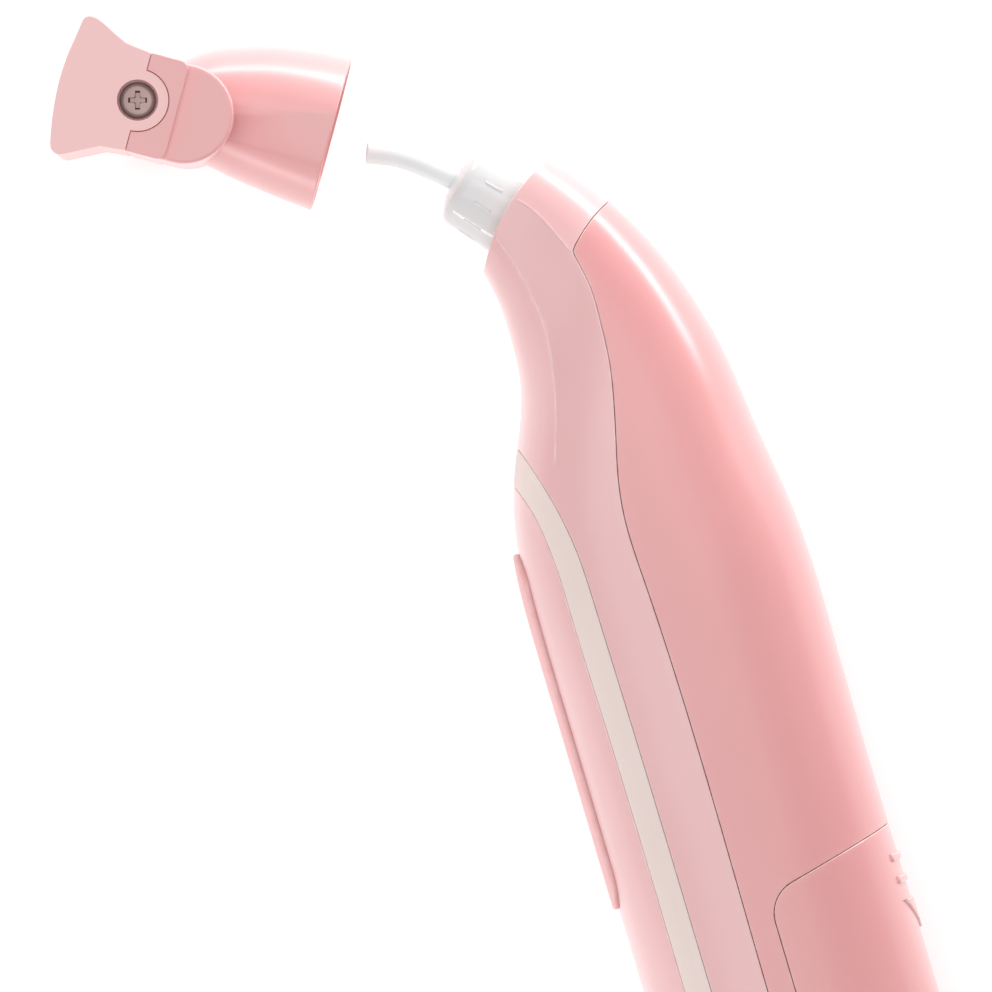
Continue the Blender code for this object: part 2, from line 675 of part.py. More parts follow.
def feed_hose():
    """Hose from the pump up to the boiler."""
    start = PUMP_Y[1] + GAP
    end = BOILER_Y[0] - GAP
    path = [(PUMP_X, start, 0.0), (PUMP_X, start + 6.0, 0.0), (BOILER_X + 6.0, end - 6.0, 0.0),
            (BOILER_X + 6.0, end, 0.0)]
    return swept("feed_hose", smooth(path, 3), FEED_RADIUS, FEED_BORE, 8)


def collar():
    """Tapered collar with a domed end, which guides the hose out of the neck."""
    hole = HOSE_RADIUS + GAP
    sphere = (COLLAR_END_RADIUS ** 2 + COLLAR_DOME ** 2) / (2 * COLLAR_DOME)
    dome = []
    for share in (1.0, 0.8, 0.6, 0.4):
        radius = hole + (COLLAR_END_RADIUS - hole) * share
        rise = math.sqrt(sphere ** 2 - radius ** 2) - math.sqrt(sphere ** 2 - COLLAR_END_RADIUS ** 2)
        dome.append((COLLAR_END + rise, radius))
    rim, groove = COLLAR_RIM_RADIUS, COLLAR_GROOVE_RADIUS
    profile = [(COLLAR_FOOT, rim), (SEAL_U[0] - GAP, rim), (SEAL_U[0] - GAP, groove),
               (SEAL_U[1] + GAP, groove), (SEAL_U[1] + GAP, rim), (COLLAR_SHOULDER, rim)]
    profile += dome + [(COLLAR_END + COLLAR_DOME - 0.2, hole), (COLLAR_FOOT, hole)]
    return turned("collar", profile, NECK, closed=True, sides=36)


def collar_seal():
    """Square seal in the collar's groove."""
    return ring("collar_seal", COLLAR_GROOVE_RADIUS + GAP, SEAL_RADIUS, *SEAL_U, NECK, 36)


def steam_hose():
    """Silicone hose from the boiler through the collar to its free tip."""
    path = [(x, y, 0.0) for x, y in smooth(HOSE_PATH, 3)]
    return swept("steam_hose", path, HOSE_RADIUS, HOSE_BORE, 10)


# ---------------------------------------------------------------- tank

def tank_cover():
    """Cover over the tank, with two grip bars and an arrow raised on its back."""
    cover = keep(handle_skin("tank_cover", REAR_WALL), tank_region("cover_area", -HALF_GAP))
    half = GRIP_HALF_WIDTH
    for top in GRIP_BARS_Y:
        bottom = top - GRIP_BAR_HEIGHT
        join(cover, grip_mark([(-half, top), (half, top), (half, bottom), (-half, bottom)]))
    return join(cover, grip_mark([(-half, ARROW_TOP), (half, ARROW_TOP), (0.0, ARROW_TIP)]))


def grip_mark(outline):
    """Make a raised mark that follows the handle's back, from its outline in Z and Y."""
    facing = Frame(Vector((0, 0, 0)), DESIGN.w, DESIGN.v, DESIGN.u)
    return keep(handle_solid("mark", -GRIP_PROUD), prism("mark_outline", outline, BACK_X - 6.0, FAR, facing),
                cut(box("hull", (-FAR, FAR), (-10.0, 100.0), (-FAR, FAR)), handle_solid("under", 0.8, 10.0)))


def tank_block(name, inset, low, high, front):
    """Make the solid that fits inside the tank cover, between two levels."""
    return keep(handle_solid(name, REAR_WALL + GAP + inset, 5.0),
                box("limits", (front, FAR), (low, high), (-FAR, FAR)))


def water_tank():
    """Clear tank fixed in the cover, with its filler hole and its spigot."""
    tank = tank_block("water_tank", 0.0, GAP, TANK_TOP, TANK_FRONT_X)
    cut(tank, tank_block("water", TANK_WALL, GAP + TANK_WALL, TANK_TOP - TANK_WALL, TANK_FRONT_X + TANK_WALL))
    spigot = upward_frame(SPIGOT_X, 0.0)
    join(tank, rod("spigot", SPIGOT_RADIUS - 0.6, TANK_TOP - 0.5, TANK_TOP + 4.4, spigot, 16))
    cut(tank, rod("outlet", 0.8, TANK_TOP - 4.0, TANK_TOP + 6.0, spigot, 12))
    filler = upward_frame(FILLER_X, 0.0)
    return cut(tank, rod("filler", FILLER_RADIUS + GAP, TANK_TOP - 4.0, TANK_TOP + 4.0, filler))


def tank_seal():
    """Seal ring round the tank's spigot."""
    inner, outer = SPIGOT_RADIUS - 0.6 + GAP, SPIGOT_RADIUS + HALF_GAP
    place = upward_frame(SPIGOT_X, 0.0)
    return ring("tank_seal", inner, outer, TANK_TOP + 2.2, TANK_TOP + 3.2, place, 16)


def filler_plug():
    """Rubber plug in the tank's filler hole."""
    face = TANK_TOP + GAP
    profile = [(TANK_TOP - 2.6, FILLER_RADIUS - 0.4), (face, FILLER_RADIUS),
               (face, FILLER_RADIUS + 1.2), (face + 2.0, FILLER_RADIUS + 0.9)]
    return turned("filler_plug", profile, upward_frame(FILLER_X, 0.0), sides=20)


# ---------------------------------------------------------------- head

def cone_rings(inset, start, stop):
    """Return the cone's sections between two distances from the mouth."""
    rings = []
    for u, top, bottom, width in smooth(CONE, 2):
        if start - 0.01 <= u <= stop + 0.01:
            middle, depth = (top + bottom) / 2, (top - bottom) / 2 - inset
            ring_points = []
            for i in range(SECTION_POINTS):
                angle = 2 * math.pi * i / SECTION_POINTS
                across = middle + depth * math.cos(angle)
                ring_points.append(HEAD.at(u, across, (width - inset) * math.sin(angle)))
            rings.append(ring_points)
    return rings


def bar_outline():
    """Return the bar's side outline: straight sides just inside the knuckle's, and a rounded back."""
    middle = (BAR_TOP + BAR_BOTTOM) / 2
    radius = (BAR_TOP - BAR_BOTTOM) / 2 - BAR_STEP
    centre = (BAR_BACK + radius, middle)
    end = STEP_U + 2.0
    outline = [(end, middle - radius)] + arc(centre, radius, 270, 90, 20) + [(end, middle + radius)]
    return outline[::-1]


def boss_frame(side):
    """Return the frame at a side screw, with u pointing inwards."""
    centre = HEAD.at(BOSS_CENTRE[0], BOSS_CENTRE[1], side * KNUCKLE_HALF_LENGTH)
    return Frame(centre, HEAD.w * -side, HEAD.u, HEAD.v)


def head_shell():
    """Cone and cross bar of the head, open at the mouth and at the nozzle's seam."""
    shell = loft("head_shell", cone_rings(0.0, 0.0, 29.0))
    join(shell, prism("bar", bar_outline(), -BAR_HALF_LENGTH, BAR_HALF_LENGTH, HEAD))
    top, bottom, seam = BAR_TOP, BAR_BOTTOM, SEAM_U - HALF_GAP
    knuckle = [(STEP_U, bottom), (seam, bottom), (seam, top), (STEP_U, top)]
    join(shell, prism("knuckle", knuckle, -KNUCKLE_HALF_LENGTH, KNUCKLE_HALF_LENGTH, HEAD))
    mouth = cone_rings(CONE_WALL, 0.0, 22.5)
    mouth.insert(0, [point - HEAD.u * 3.0 for point in mouth[0]])
    cut(shell, loft("cone_inside", mouth))
    lip = cone_rings(LIP_WALL, 0.0, 0.0)[0]
    ends = (-3.0, LIP_DEPTH)
    cut(shell, loft("lip", [[point + HEAD.u * end for point in lip] for end in ends]))
    back, upper, lower, half = PLENUM
    cut(shell, box("plenum", (back, SEAM_U + 2.0), (lower, upper), (-half, half), HEAD))
    cut(shell, rod("socket_hole", SOCKET_RADIUS + GAP, -8.0, 8.0, socket_frame(), 24))
    for side in (-1, 1):
        place = boss_frame(side)
        cut(shell, rod("boss_bed", BOSS_RADIUS + HALF_GAP, -2.0, BOSS_DEPTH + GAP, place, 32),
            rod("thread", SHANK_RADIUS + GAP, -2.0, 7.0, place))
    return shell


def socket_frame():
    """Return the frame of the hose socket, tilted to the hose's path."""
    origin = HEAD.at(PLENUM[0] - 1.2, SOCKET_V - 0.2)
    along = HEAD.u * math.cos(SOCKET_TILT) + HEAD.v * math.sin(SOCKET_TILT)
    across = HEAD.v * math.cos(SOCKET_TILT) - HEAD.u * math.sin(SOCKET_TILT)
    return Frame(origin, along, across, HEAD.w)


def hose_socket():
    """Silicone funnel that takes the hose's tip when the head is on."""
    flange = SOCKET_RADIUS + 0.6
    profile = [(-4.2, SOCKET_BORE + 0.6), (-4.2, SOCKET_RADIUS), (2.8, SOCKET_RADIUS), (2.8, flange),
               (4.2, flange), (4.2, SOCKET_BORE), (-2.8, SOCKET_BORE)]
    return turned("hose_socket", profile, socket_frame(), closed=True, sides=24)


def nozzle_shell():
    """Fan-shaped nozzle with its two screw bosses, hollow from its face."""
    seam = SEAM_U + HALF_GAP
    outline = [(seam, BAR_BOTTOM), (seam, BAR_TOP)] + NOZZLE_OUTLINE
    shell = prism("nozzle_shell", outline, -KNUCKLE_HALF_LENGTH, KNUCKLE_HALF_LENGTH, HEAD)
    for side in (-1, 1):
        join(shell, rod("boss", BOSS_RADIUS - HALF_GAP, 0.0, BOSS_DEPTH, boss_frame(side), 32))
    half = KNUCKLE_HALF_LENGTH - NOZZLE_WALL
    upper, lower, throat = PLENUM[1:]
    cut(shell, box("throat", (SEAM_U - 1.0, SEAM_U + 6.0), (lower, upper), (-throat, throat), HEAD))
    cut(shell, box("chamber", (SEAM_U + 5.0, PLATE_U[0]), (lower - 0.9, upper + 1.0), (-half + 1.6, half - 1.6), HEAD))
    bed = (PLATE_BOTTOM - GAP, PLATE_TOP + GAP)
    cut(shell, box("plate_bed", (PLATE_U[0] - GAP, 52.0), bed, (-half, half), HEAD))
    for side in (-1, 1):
        place = boss_frame(side)
        cut(shell, rod("recess", SCREW_RECESS_RADIUS, -1.0, SCREW_RECESS_DEPTH, place, 28),
            rod("hole", SHANK_RADIUS + GAP, -1.0, 9.0, place))
    return shell


def steam_plate():
    """Slotted plate set back in the nozzle's face."""
    half = KNUCKLE_HALF_LENGTH - NOZZLE_WALL - GAP
    plate = box("steam_plate", PLATE_U, (PLATE_BOTTOM, PLATE_TOP), (-half, half), HEAD)
    middle = (PLATE_TOP + PLATE_BOTTOM) / 2
    for row in (-1, 0, 1):
        for column in range(-3, 4):
            centre_v = middle + 4.4 * row
            centre_w = 4.8 * column
            across = (centre_v - PLATE_SLOT[0], centre_v + PLATE_SLOT[0])
            over = (centre_w - PLATE_SLOT[1], centre_w + PLATE_SLOT[1])
            cut(plate, box("slot", (40.0, 50.0), across, over, HEAD))
    return plate


def nozzle_gasket():
    """Flat gasket inside the nozzle's throat."""
    upper, lower, half = PLENUM[1:]
    blocks = []
    for name, inset, reach in (("nozzle_gasket", GAP, 2.0), ("way", GAP + 1.6, 6.0)):
        along = (SEAM_U - reach, SEAM_U + reach)
        over = (-half + inset, half - inset)
        blocks.append(box(name, along, (lower + inset, upper - inset), over, HEAD))
    return cut(*blocks)


def side_screw(name, side):
    """Cross-recess screw that fixes the nozzle to the head."""
    seat = SCREW_RECESS_DEPTH - GAP
    top = seat - SCREW_HEAD_HEIGHT
    place = boss_frame(side)
    profile = [(top, SCREW_HEAD_RADIUS - 0.5), (top + 0.4, SCREW_HEAD_RADIUS), (seat, SCREW_HEAD_RADIUS),
               (seat, SHANK_RADIUS), (6.6, SHANK_RADIUS)]
    screw = turned(name, profile, place, sides=28)
    for u, v in ((1.9, 0.4), (0.4, 1.9)):
        cut(screw, box("cross", (-1.0, top + 0.8), (-u, u), (-v, v), place))
    return screw


# ---------------------------------------------------------------- placing

def linear(value):
    """Turn an sRGB value into a linear one."""
    return value / 12.92 if value <= 0.04045 else ((value + 0.055) / 1.055) ** 2.4


def paint(made, finish):
    """Give the object its own material."""
    colour, roughness, metallic = finish
    material = bpy.data.materials.new(made.name)
    material.use_nodes = True
    shader = material.node_tree.nodes["Principled BSDF"]
    shader.inputs["Base Color"].default_value = (*(linear(value / 255) for value in colour), 1.0)
    shader.inputs["Roughness"].default_value = roughness
    shader.inputs["Metallic"].default_value = metallic
    made.data.materials.clear()
    made.data.materials.append(material)
    made.data.shade_smooth()
    made.data.set_sharp_from_angle(angle=math.radians(35))


def hang(made, parent, origin):
    """Parent the object, and move its origin to a design point."""
    place = Vector((origin[0], origin[1], 0.0)) * MM
    made.data.transform(Matrix.Translation(-place))
    made.parent = parent
    made.location = place - parent_place(parent)


def parent_place(parent):
    """Return where a parent empty stands in the design frame, in metres."""
    return Vector(parent["design_place"])


def empty(name, point, parent=None):
    """Make an empty at a design point."""
    made = bpy.data.objects.new(name, None)
    bpy.context.scene.collection.objects.link(made)
    made["design_place"] = [point[0] * MM, point[1] * MM, 0.0]
    made.location = Vector(made["design_place"])
    if parent:
        made.parent = parent
        made.location -= parent_place(parent)
    return made


def main():
    """Build every piece, then set the origin under the middle of the whole."""
    for old in list(bpy.data.objects):
        bpy.data.objects.remove(old)
    root = empty("steamer", (0.0, 0.0))
    head_axis = empty("head_axis", HEAD_ARC_CENTRE, root)
    trigger_axis = empty("trigger_axis", TRIGGER_PIN, root)
    handle = [
        (front_shell(), PINK_FRONT), (rear_shell(), PINK_REAR), (trim_arch(), BEIGE_TRIM),
        (front_panel(), PINK_FRONT), (base_cap(), PINK_REAR), (cord_gland(), RUBBER),
        (base_screw(1, 1), STEEL), (base_screw(2, -1), STEEL), (collar(), WHITE_GLOSS),
        (collar_seal(), SILICONE),
        (steam_hose(), SILICONE), (boiler(), ALUMINIUM), (boiler_jacket(), WHITE_PLASTIC),
        (thermostat(), STEEL), (pump(), BLACK_PLASTIC), (tank_dock(), SILICONE), (inlet_hose(), SILICONE),
        (feed_hose(), SILICONE), (chassis(), WHITE_PLASTIC), (control_board(), BOARD_GREEN),
        (trigger_bracket(), WHITE_PLASTIC), (trigger_pin(), STEEL), (micro_switch(), BLACK_PLASTIC),
        (switch_plunger(), BLACK_PLASTIC), (trigger_spring(), STEEL),
        (tank_cover(), PINK_REAR), (water_tank(), TANK_CLEAR), (tank_seal(), SILICONE),
        (filler_plug(), SILICONE),
    ]
    handle += [(bracket_screw(i + 1, level), STEEL) for i, level in enumerate(BRACKET_SCREWS_Y)]
    head = [
        (head_shell(), PINK_HEAD), (nozzle_shell(), PINK_FRONT), (steam_plate(), WHITE_PLASTIC),
        (nozzle_gasket(), SILICONE), (hose_socket(), SILICONE),
        (side_screw("side_screw_near", 1), STEEL), (side_screw("side_screw_far", -1), STEEL),
    ]
    for made, finish in handle:
        paint(made, finish)
        hang(made, root, (0.0, 0.0))
    pad = trigger()
    paint(pad, PINK_TRIGGER)
    hang(pad, trigger_axis, TRIGGER_PIN)
    for made, finish in head:
        paint(made, finish)
        hang(made, head_axis, MOUTH_CENTRE)
    bpy.context.view_layer.update()
    corners = [made.matrix_world @ vertex.co for made in bpy.data.objects if made.type == "MESH"
               for vertex in made.data.vertices]
    low = [min(corner[axis] for corner in corners) for axis in range(3)]
    high = [max(corner[axis] for corner in corners) for axis in range(3)]
    root.location = (-(low[0] + high[0]) / 2, -(low[1] + high[1]) / 2, -low[2])


main()
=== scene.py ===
"""Looks of the handheld garment steamer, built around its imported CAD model.

Shapes are worked out in the maker's design frame, in millimetres: X from the front (-) to the back (+)
of the handle, Y up the handle from its base, Z across its width with the mirror plane at Z = 0. The
base face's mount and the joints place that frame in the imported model, whose metres the meshes use.
"""

import json
import logging
import math
from dataclasses import dataclass
from enum import Enum
from typing import Callable, Iterable, Optional, Sequence

import bmesh
import bpy
import numpy as np
from mathutils import Matrix, Vector
from mathutils.geometry import delaunay_2d_cdt


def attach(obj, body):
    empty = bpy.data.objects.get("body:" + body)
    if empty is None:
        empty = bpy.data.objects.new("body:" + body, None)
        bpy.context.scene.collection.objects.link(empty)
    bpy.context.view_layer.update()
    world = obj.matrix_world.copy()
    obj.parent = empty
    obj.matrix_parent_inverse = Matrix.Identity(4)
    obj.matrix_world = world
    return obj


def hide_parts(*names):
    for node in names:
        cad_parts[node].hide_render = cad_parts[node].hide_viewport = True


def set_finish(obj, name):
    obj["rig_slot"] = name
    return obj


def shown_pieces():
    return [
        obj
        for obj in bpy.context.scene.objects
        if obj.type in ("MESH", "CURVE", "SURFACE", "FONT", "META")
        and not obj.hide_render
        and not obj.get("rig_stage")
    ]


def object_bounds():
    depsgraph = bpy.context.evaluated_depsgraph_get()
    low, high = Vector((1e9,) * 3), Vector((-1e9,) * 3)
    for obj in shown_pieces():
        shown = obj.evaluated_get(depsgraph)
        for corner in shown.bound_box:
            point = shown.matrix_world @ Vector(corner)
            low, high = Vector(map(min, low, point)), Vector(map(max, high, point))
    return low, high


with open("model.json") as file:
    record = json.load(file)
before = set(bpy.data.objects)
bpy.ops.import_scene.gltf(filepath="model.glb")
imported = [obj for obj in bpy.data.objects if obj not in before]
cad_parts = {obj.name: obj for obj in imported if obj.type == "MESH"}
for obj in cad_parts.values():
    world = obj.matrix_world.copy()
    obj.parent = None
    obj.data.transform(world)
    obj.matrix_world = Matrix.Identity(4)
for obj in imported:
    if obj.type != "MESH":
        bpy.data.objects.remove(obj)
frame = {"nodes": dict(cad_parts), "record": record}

CAD_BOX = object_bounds()
MM = 0.001
LOG = logging.getLogger("steamer")
Array = np.ndarray

BASE_FACE_POINT = (-3.0, 0.0, 0.0)      # where the base face's mount lies in the design frame
BELOW_BASE = -6.0                       # the height at which lines that run off the base end
UNROLL = 21.0                           # millimetres of unrolled skin to one radian round a section
TINY = 1e-9
WELD = 1e-7
ON_MIDDLE = 1e-6                        # places nearer than this to the mirror plane lie on it


def design_origin() -> Array:
    """Return the design frame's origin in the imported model, in metres, from the base face's mount."""
    mount = next(m for m in frame["record"]["mounts"] if m["name"] == "base_face")
    return np.array(mount["pos_m"]) - np.array(BASE_FACE_POINT) * MM


ORIGIN = design_origin()


class Slot(Enum):
    """The record's material slots that new pieces take their finish from."""

    FRONT = "pink_front"
    REAR = "pink_rear"
    HEAD = "pink_head"
    NOZZLE = "pink_nozzle"
    TRIGGER = "pink_trigger"
    TRIM = "beige_trim"
    COLLAR = "white_collar"
    SILICONE = "silicone"
    STEEL = "screw_steel"
    WHITE = "white_plastic"


class Body(Enum):
    """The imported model's bodies."""

    HANDLE = "handle"
    TRIGGER = "trigger"
    TANK = "tank"
    HEAD = "head"


# ---- curves

@dataclass(frozen=True)
class Axes:
    """A place to build in: an origin and three directions of the design frame."""

    origin: tuple
    u: tuple
    v: tuple
    w: tuple = (0.0, 0.0, 1.0)

    def at(self, u: Array, v: Array, w: Array) -> Array:
        """Return design points for arrays of distances along the three directions.

        Args:
            u: distances along the first direction, in mm.
            v: distances along the second direction, in mm.
            w: distances along the third direction, in mm.

        Returns:
            One row of x, y, z for each set of distances.
        """
        parts = np.broadcast_arrays(np.asarray(u, float), np.asarray(v, float), np.asarray(w, float))
        place = np.array(self.origin, float)
        for part, direction in zip(parts, (self.u, self.v, self.w)):
            place = place + part[..., None] * np.array(direction, float)
        return place

    @staticmethod
    def flat(centre: Sequence[float], degrees: float) -> "Axes":
        """Return axes at a point of the mirror plane, with u at this angle and v a right angle below it."""
        c, s = math.cos(math.radians(degrees)), math.sin(math.radians(degrees))
        return Axes((centre[0], centre[1], 0.0), (c, s, 0.0), (s, -c, 0.0))


class Spline:
    """A natural cubic spline through rows of values."""

    def __init__(self, knots: Array, values: Array) -> None:
        """Solve the spline's second derivatives.

        Args:
            knots: increasing parameter of each row.
            values: one row for each knot.
        """
        self.knots = np.asarray(knots, float)
        self.values = np.asarray(values, float)
        count = len(self.knots)
        step = np.diff(self.knots)
        system = np.eye(count)
        right = np.zeros_like(self.values)
        for i in range(1, count - 1):
            system[i, i - 1:i + 2] = step[i - 1], 2 * (step[i - 1] + step[i]), step[i]
            rise = (self.values[i + 1] - self.values[i]) / step[i]
            right[i] = 6 * (rise - (self.values[i] - self.values[i - 1]) / step[i - 1])
        self.bend = np.linalg.solve(system, right)

    def at(self, where: Array) -> Array:
        """Return the rows at these parameter values.

        Args:
            where: parameter values.

        Returns:
            One row for each value.
        """
        where = np.atleast_1d(np.asarray(where, float))
        i = np.clip(np.searchsorted(self.knots, where) - 1, 0, len(self.knots) - 2)
        low, high = self.knots[i], self.knots[i + 1]
        step = (high - low)[:, None]
        a = (high - where)[:, None] / step
        b = 1 - a
        curve = ((a ** 3 - a) * self.bend[i] + (b ** 3 - b) * self.bend[i + 1]) * step ** 2 / 6
        return a * self.values[i] + b * self.values[i + 1] + curve


def run_along(points: Array) -> Array:
    """Return the distance along a row of points at each of them."""
    return np.concatenate([[0], np.cumsum(np.linalg.norm(np.diff(points, axis=0), axis=1))])


def curve_through(points: Sequence[Sequence[float]]) -> Spline:
    """Return a spline through points, with the distance along them as its parameter."""
    data = np.array(points, float)
    return Spline(run_along(data), data)


def arc(centre: Sequence[float], radius: float, start: float, end: float, steps: int) -> list:
    """Return points on an arc.

    Args:
        centre: the arc's centre.
        radius: its radius.
        start: first angle in degrees.
        end: last angle in degrees.
        steps: number of steps between them.

    Returns:
        A list of (x, y) pairs.
    """
    angles = np.radians(np.linspace(start, end, steps + 1))
    return [(centre[0] + radius * math.cos(a), centre[1] + radius * math.sin(a)) for a in angles]


def spaced(path: Array, measure: Array, spacing: float) -> Array:
    """Resample a path evenly.

    Args:
        path: rows to resample.
        measure: distance along the path at each row.
        spacing: wanted distance between two rows.

    Returns:
        The resampled rows, with the first and last kept.
    """
    count = max(2, int(round(measure[-1] / spacing)) + 1)
    where = np.linspace(0, measure[-1], count)
    return np.stack([np.interp(where, measure, path[:, k]) for k in range(path.shape[1])], axis=1)


# ---- meshes

def new_piece(name: str, points: Array, faces: Sequence, edge: Optional[Array] = None) -> bpy.types.Object:
    """Make a smooth mesh object from design points, closed and facing out.

    Args:
        name: the object's name.
        points: design points in mm, one row each.
        faces: tuples of point indices.
        edge: how close each point is to a moulded edge, from 0 to 1, or its share of a crease's crest; it lays the pale
            colour of worn edges and painted highlight.

    Returns:
        The new object.
    """
    mesh = bpy.data.meshes.new(name)
    placed = np.asarray(points, float) * MM + ORIGIN
    mesh.from_pydata([tuple(p) for p in placed], [], [tuple(int(i) for i in f) for f in faces])
    if edge is not None:
        layer = mesh.attributes.new("edge", "FLOAT", "POINT")
        layer.data.foreach_set("value", np.asarray(edge, np.float32))
    work = bmesh.new()
    work.from_mesh(mesh)
    bmesh.ops.remove_doubles(work, verts=work.verts, dist=WELD)
    bmesh.ops.recalc_face_normals(work, faces=work.faces)
    if work.calc_volume(signed=True) < 0:
        bmesh.ops.reverse_faces(work, faces=work.faces)
    work.to_mesh(mesh)
    work.free()
    mesh.shade_smooth()
    made = bpy.data.objects.new(name, mesh)
    bpy.context.scene.collection.objects.link(made)
    return made


def loft(rings: Sequence[Array], closed: bool = False) -> tuple:
    """Skin a row of rings.

    Args:
        rings: arrays of design points, all of one length.
        closed: whether the last ring joins the first instead of both ends being capped.

    Returns:
        All points, and the faces.
    """
    count = len(rings[0])
    points = np.concatenate(rings)
    faces = []
    for row in range(len(rings) if closed else len(rings) - 1):
        here, there = row * count, ((row + 1) % len(rings)) * count
        for i in range(count):
            j = (i + 1) % count
            faces.append((here + i, here + j, there + j, there + i))
    if not closed:
        faces.append(tuple(range(count)))
        faces.append(tuple(range(len(points) - count, len(points))))
    return points, faces


def turned(profile: Sequence[Sequence[float]], axes: Axes, closed: bool = False, sides: int = 64) -> tuple:
    """Revolve a profile about the axes' u direction.

    Args:
        profile: (distance along u, radius) pairs.
        axes: where the profile stands.
        closed: whether the profile is a closed loop, as for a ring.
        sides: steps around.

    Returns:
        All points, and the faces.
    """
    angles = np.arange(sides) * 2 * math.pi / sides
    rings = [axes.at(u, r * np.cos(angles), r * np.sin(angles)) for u, r in profile]
    return loft(rings, closed)


def rounded(profile: Sequence[Sequence[float]], radius: float, closed: bool = False, steps: int = 4) -> list:
    """Round the corners of a profile.

    Args:
        profile: corner points.
        radius: the fillet's reach from each corner, limited to a third of each side.
        closed: whether the profile closes on itself.
        steps: points in each fillet, less one.

    Returns:
        The points of the rounded profile.
    """
    data = np.array(profile, float)
    count = len(data)
    result = []
    for i, corner in enumerate(data):
        if not closed and i in (0, count - 1):
            result.append(tuple(corner))
            continue
        before, after = data[i - 1] - corner, data[(i + 1) % count] - corner
        reach = min(radius, np.linalg.norm(before) / 3, np.linalg.norm(after) / 3)
        start = corner + before / np.linalg.norm(before) * reach
        end = corner + after / np.linalg.norm(after) * reach
        for t in np.linspace(0, 1, steps + 1):
            result.append(tuple((1 - t) ** 2 * start + 2 * t * (1 - t) * corner + t ** 2 * end))
    return result


def inside(points: Array, loop: Array) -> Array:
    """Tell which points lie inside a closed loop, by counting crossings.

    Args:
        points: rows of x, y to test.
        loop: the loop's corners, in order.

    Returns:
        True or False for each point.
    """
    x, y = points[:, 0][:, None], points[:, 1][:, None]
    x0, y0 = loop[:, 0][None, :], loop[:, 1][None, :]
    x1, y1 = np.roll(loop[:, 0], -1)[None, :], np.roll(loop[:, 1], -1)[None, :]
    spans = (y0 > y) != (y1 > y)
    rise = np.where(y1 == y0, 1e-12, y1 - y0)
    return (np.sum(spans & (x < (x1 - x0) * (y - y0) / rise + x0), axis=1) % 2) == 1


# ---- handle form

